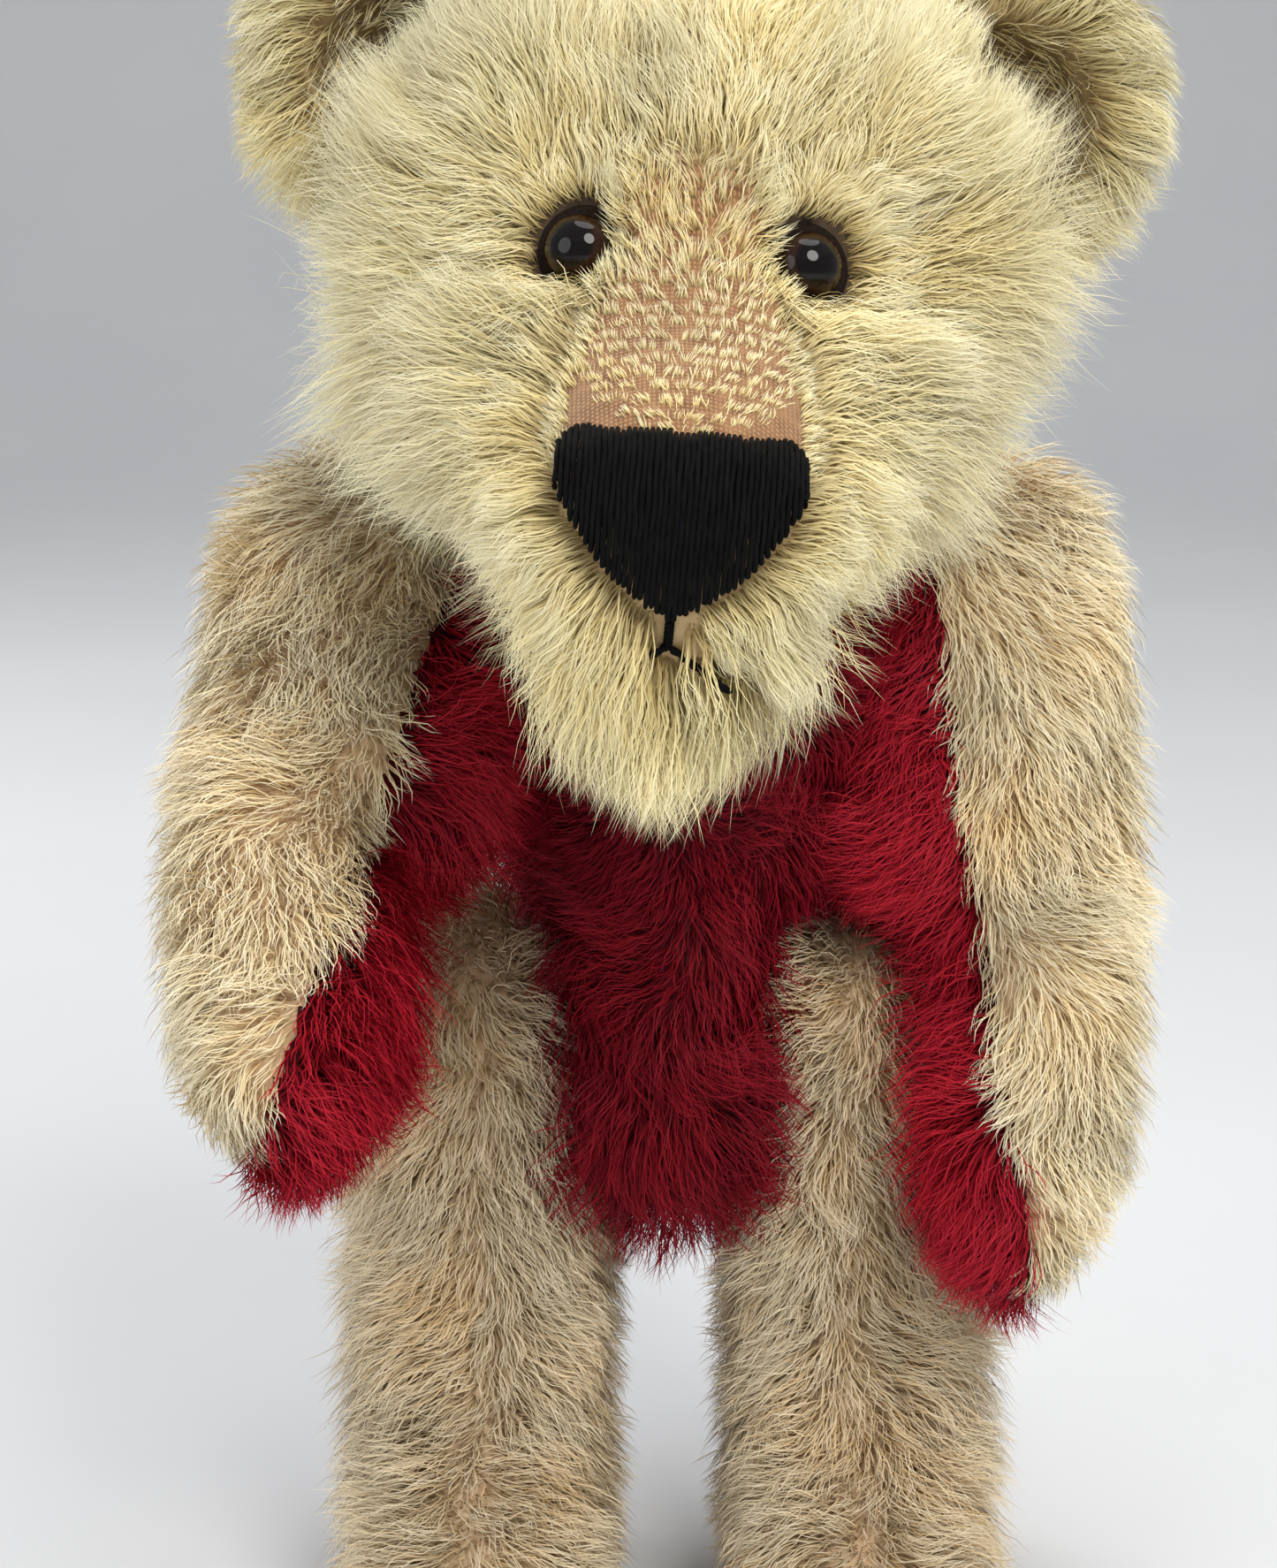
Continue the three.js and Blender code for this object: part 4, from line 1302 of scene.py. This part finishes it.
FACE, JAW, BROW, FAR = 20 * MM, 38 * MM, 74 * MM, 1.0  # where the head's fur is divided, in its own axes
HEAD_REGIONS = {  # side (0 for both), from and to in front, from and to in height, pelt, strands
    "jaw_left": (1, (FACE, FAR), (-FAR, JAW), CHEEK_PELT, 14000),
    "jaw_right": (-1, (FACE, FAR), (-FAR, JAW), CHEEK_PELT, 14000),
    "cheek_left": (1, (FACE, FAR), (JAW, BROW), CHEEK_PELT, 11000),
    "cheek_right": (-1, (FACE, FAR), (JAW, BROW), CHEEK_PELT, 11000),
    "brow": (0, (FACE, FAR), (BROW, FAR), BROW_PELT, 14000),
    "back_left": (1, (-FAR, FACE), (-FAR, FAR), BACK_PELT, 13000),
    "back_right": (-1, (-FAR, FACE), (-FAR, FAR), BACK_PELT, 13000),
}


def head_region(side, fronts, heights, mouth):
    """The style of the head's fur inside one region of it."""
    def style(points, facing):
        x, front, up = points.T
        inside = (front > fronts[0]) & (front <= fronts[1]) & (up > heights[0]) & (up <= heights[1])
        inside &= (side == 0) | ((x >= 0) == (side > 0))
        thickness, length, comb = head_fur(points, facing, mouth)
        return thickness * inside, length, comb

    return style


def dress(skins, mouth):
    """The fur, planted in pieces that each ride on their skin's body."""
    head, torso = skins["head_skin"], skins["torso_skin"]
    for seed, (name, (side, fronts, heights, pelt, strands)) in enumerate(HEAD_REGIONS.items(), 100):
        style = head_region(side, fronts, heights, mouth)
        fur(f"head_fur_{name}", "head", HEAD, head, pelt, strands, style, seed)
    fur("muzzle_tufts", "head", HEAD, head, TUFT_PELT, 6500, muzzle_tufts, 120)
    for number, (side, sign) in enumerate(SIDES.items()):
        dress_side(skins, side, sign, number)
    fur("torso_front_fur", "torso", TORSO, torso, SHADED_RED_PELT, 21000, torso_fur(True), 190)
    fur("torso_back_fur", "torso", TORSO, torso, CREAM_PELT, 20000, torso_fur(False), 191)


def dress_side(skins, side, sign, number):
    ear, arm, leg = (skins[f"{part}_{side}_skin"] for part in ("ear", "arm", "leg"))
    fur(f"ear_{side}_fur", "head", HEAD, ear, EAR_PELT, 8000, ear_fur(sign, False), 130 + number)
    fur(f"ear_{side}_cup_fur", "head", HEAD, ear, EAR_PELT, 800, ear_fur(sign, True), 140 + number)
    body, place = f"arm_{side}", arm_place(sign)
    fur(f"{body}_outer_fur", body, place, arm, CREAM_PELT, 17000, arm_fur(sign, True), 150 + number)
    fur(f"{body}_inner_fur", body, place, arm, LIT_RED_PELT, 15000, arm_fur(sign, False), 160 + number)
    body, place = f"leg_{side}", standing_place(sign)
    fur(f"{body}_outer_fur", body, place, leg, LEG_PELT, 15000, leg_fur(True), 170 + number)
    fur(f"{body}_inner_fur", body, place, leg, LEG_PELT, 15000, leg_fur(False), 180 + number)


def soles():
    for side in SIDES:
        pad = skin_blank(f"sole_{side}", [f"leg_{side}_sole_pad"], 0.8 * MM)
        points = coordinates(pad.data)
        points[:, 2] = np.maximum(points[:, 2], 0.05 * MM)
        set_coordinates(pad.data, points)
        pad.data.polygons.foreach_set("use_smooth", [True] * len(pad.data.polygons))
        finish_piece(pad, "suede", f"leg_{side}")
        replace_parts(pad, f"leg_{side}_sole_pad")


def main():
    add_camera()
    add_stage()
    add_lights()
    skins = make_skins()
    stuff_all(skins)
    press_eye_sockets(skins["head_skin"])
    shape_chin(skins["head_skin"])
    cover_all(skins)
    paint_head(skins["head_skin"])
    paint_torso(skins["torso_skin"])
    for side, sign in SIDES.items():
        paint_arm(skins[f"arm_{side}_skin"], sign)
        skins[f"leg_{side}_skin"].data.materials.append(MATERIALS["cream_ground"])
        paint_ear(skins[f"ear_{side}_skin"], side)
    panels = ("head_gusset", "head_side_left", "head_side_right")
    declare_skin(skins["head_skin"], "blond_mohair", "head", *panels)
    declare_skin(skins["torso_skin"], "red_mohair", "torso", "torso_front", "torso_back")
    for side in SIDES:
        declare_skin(skins[f"ear_{side}_skin"], "blond_mohair", "head", f"ear_{side}")
        for limb in ("arm", "leg"):
            name = f"{limb}_{side}"
            declare_skin(skins[f"{name}_skin"], "cream_mohair", name, f"{name}_outer", f"{name}_inner")
    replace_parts(nose_threads(), "nose_and_mouth_embroidery")
    mouth = mouth_paths(skins["head_skin"])
    mouth_threads(mouth)
    eyes()
    soles()
    dress(skins, np.concatenate(mouth[:2]))
    finish_hidden_nodes()


main()
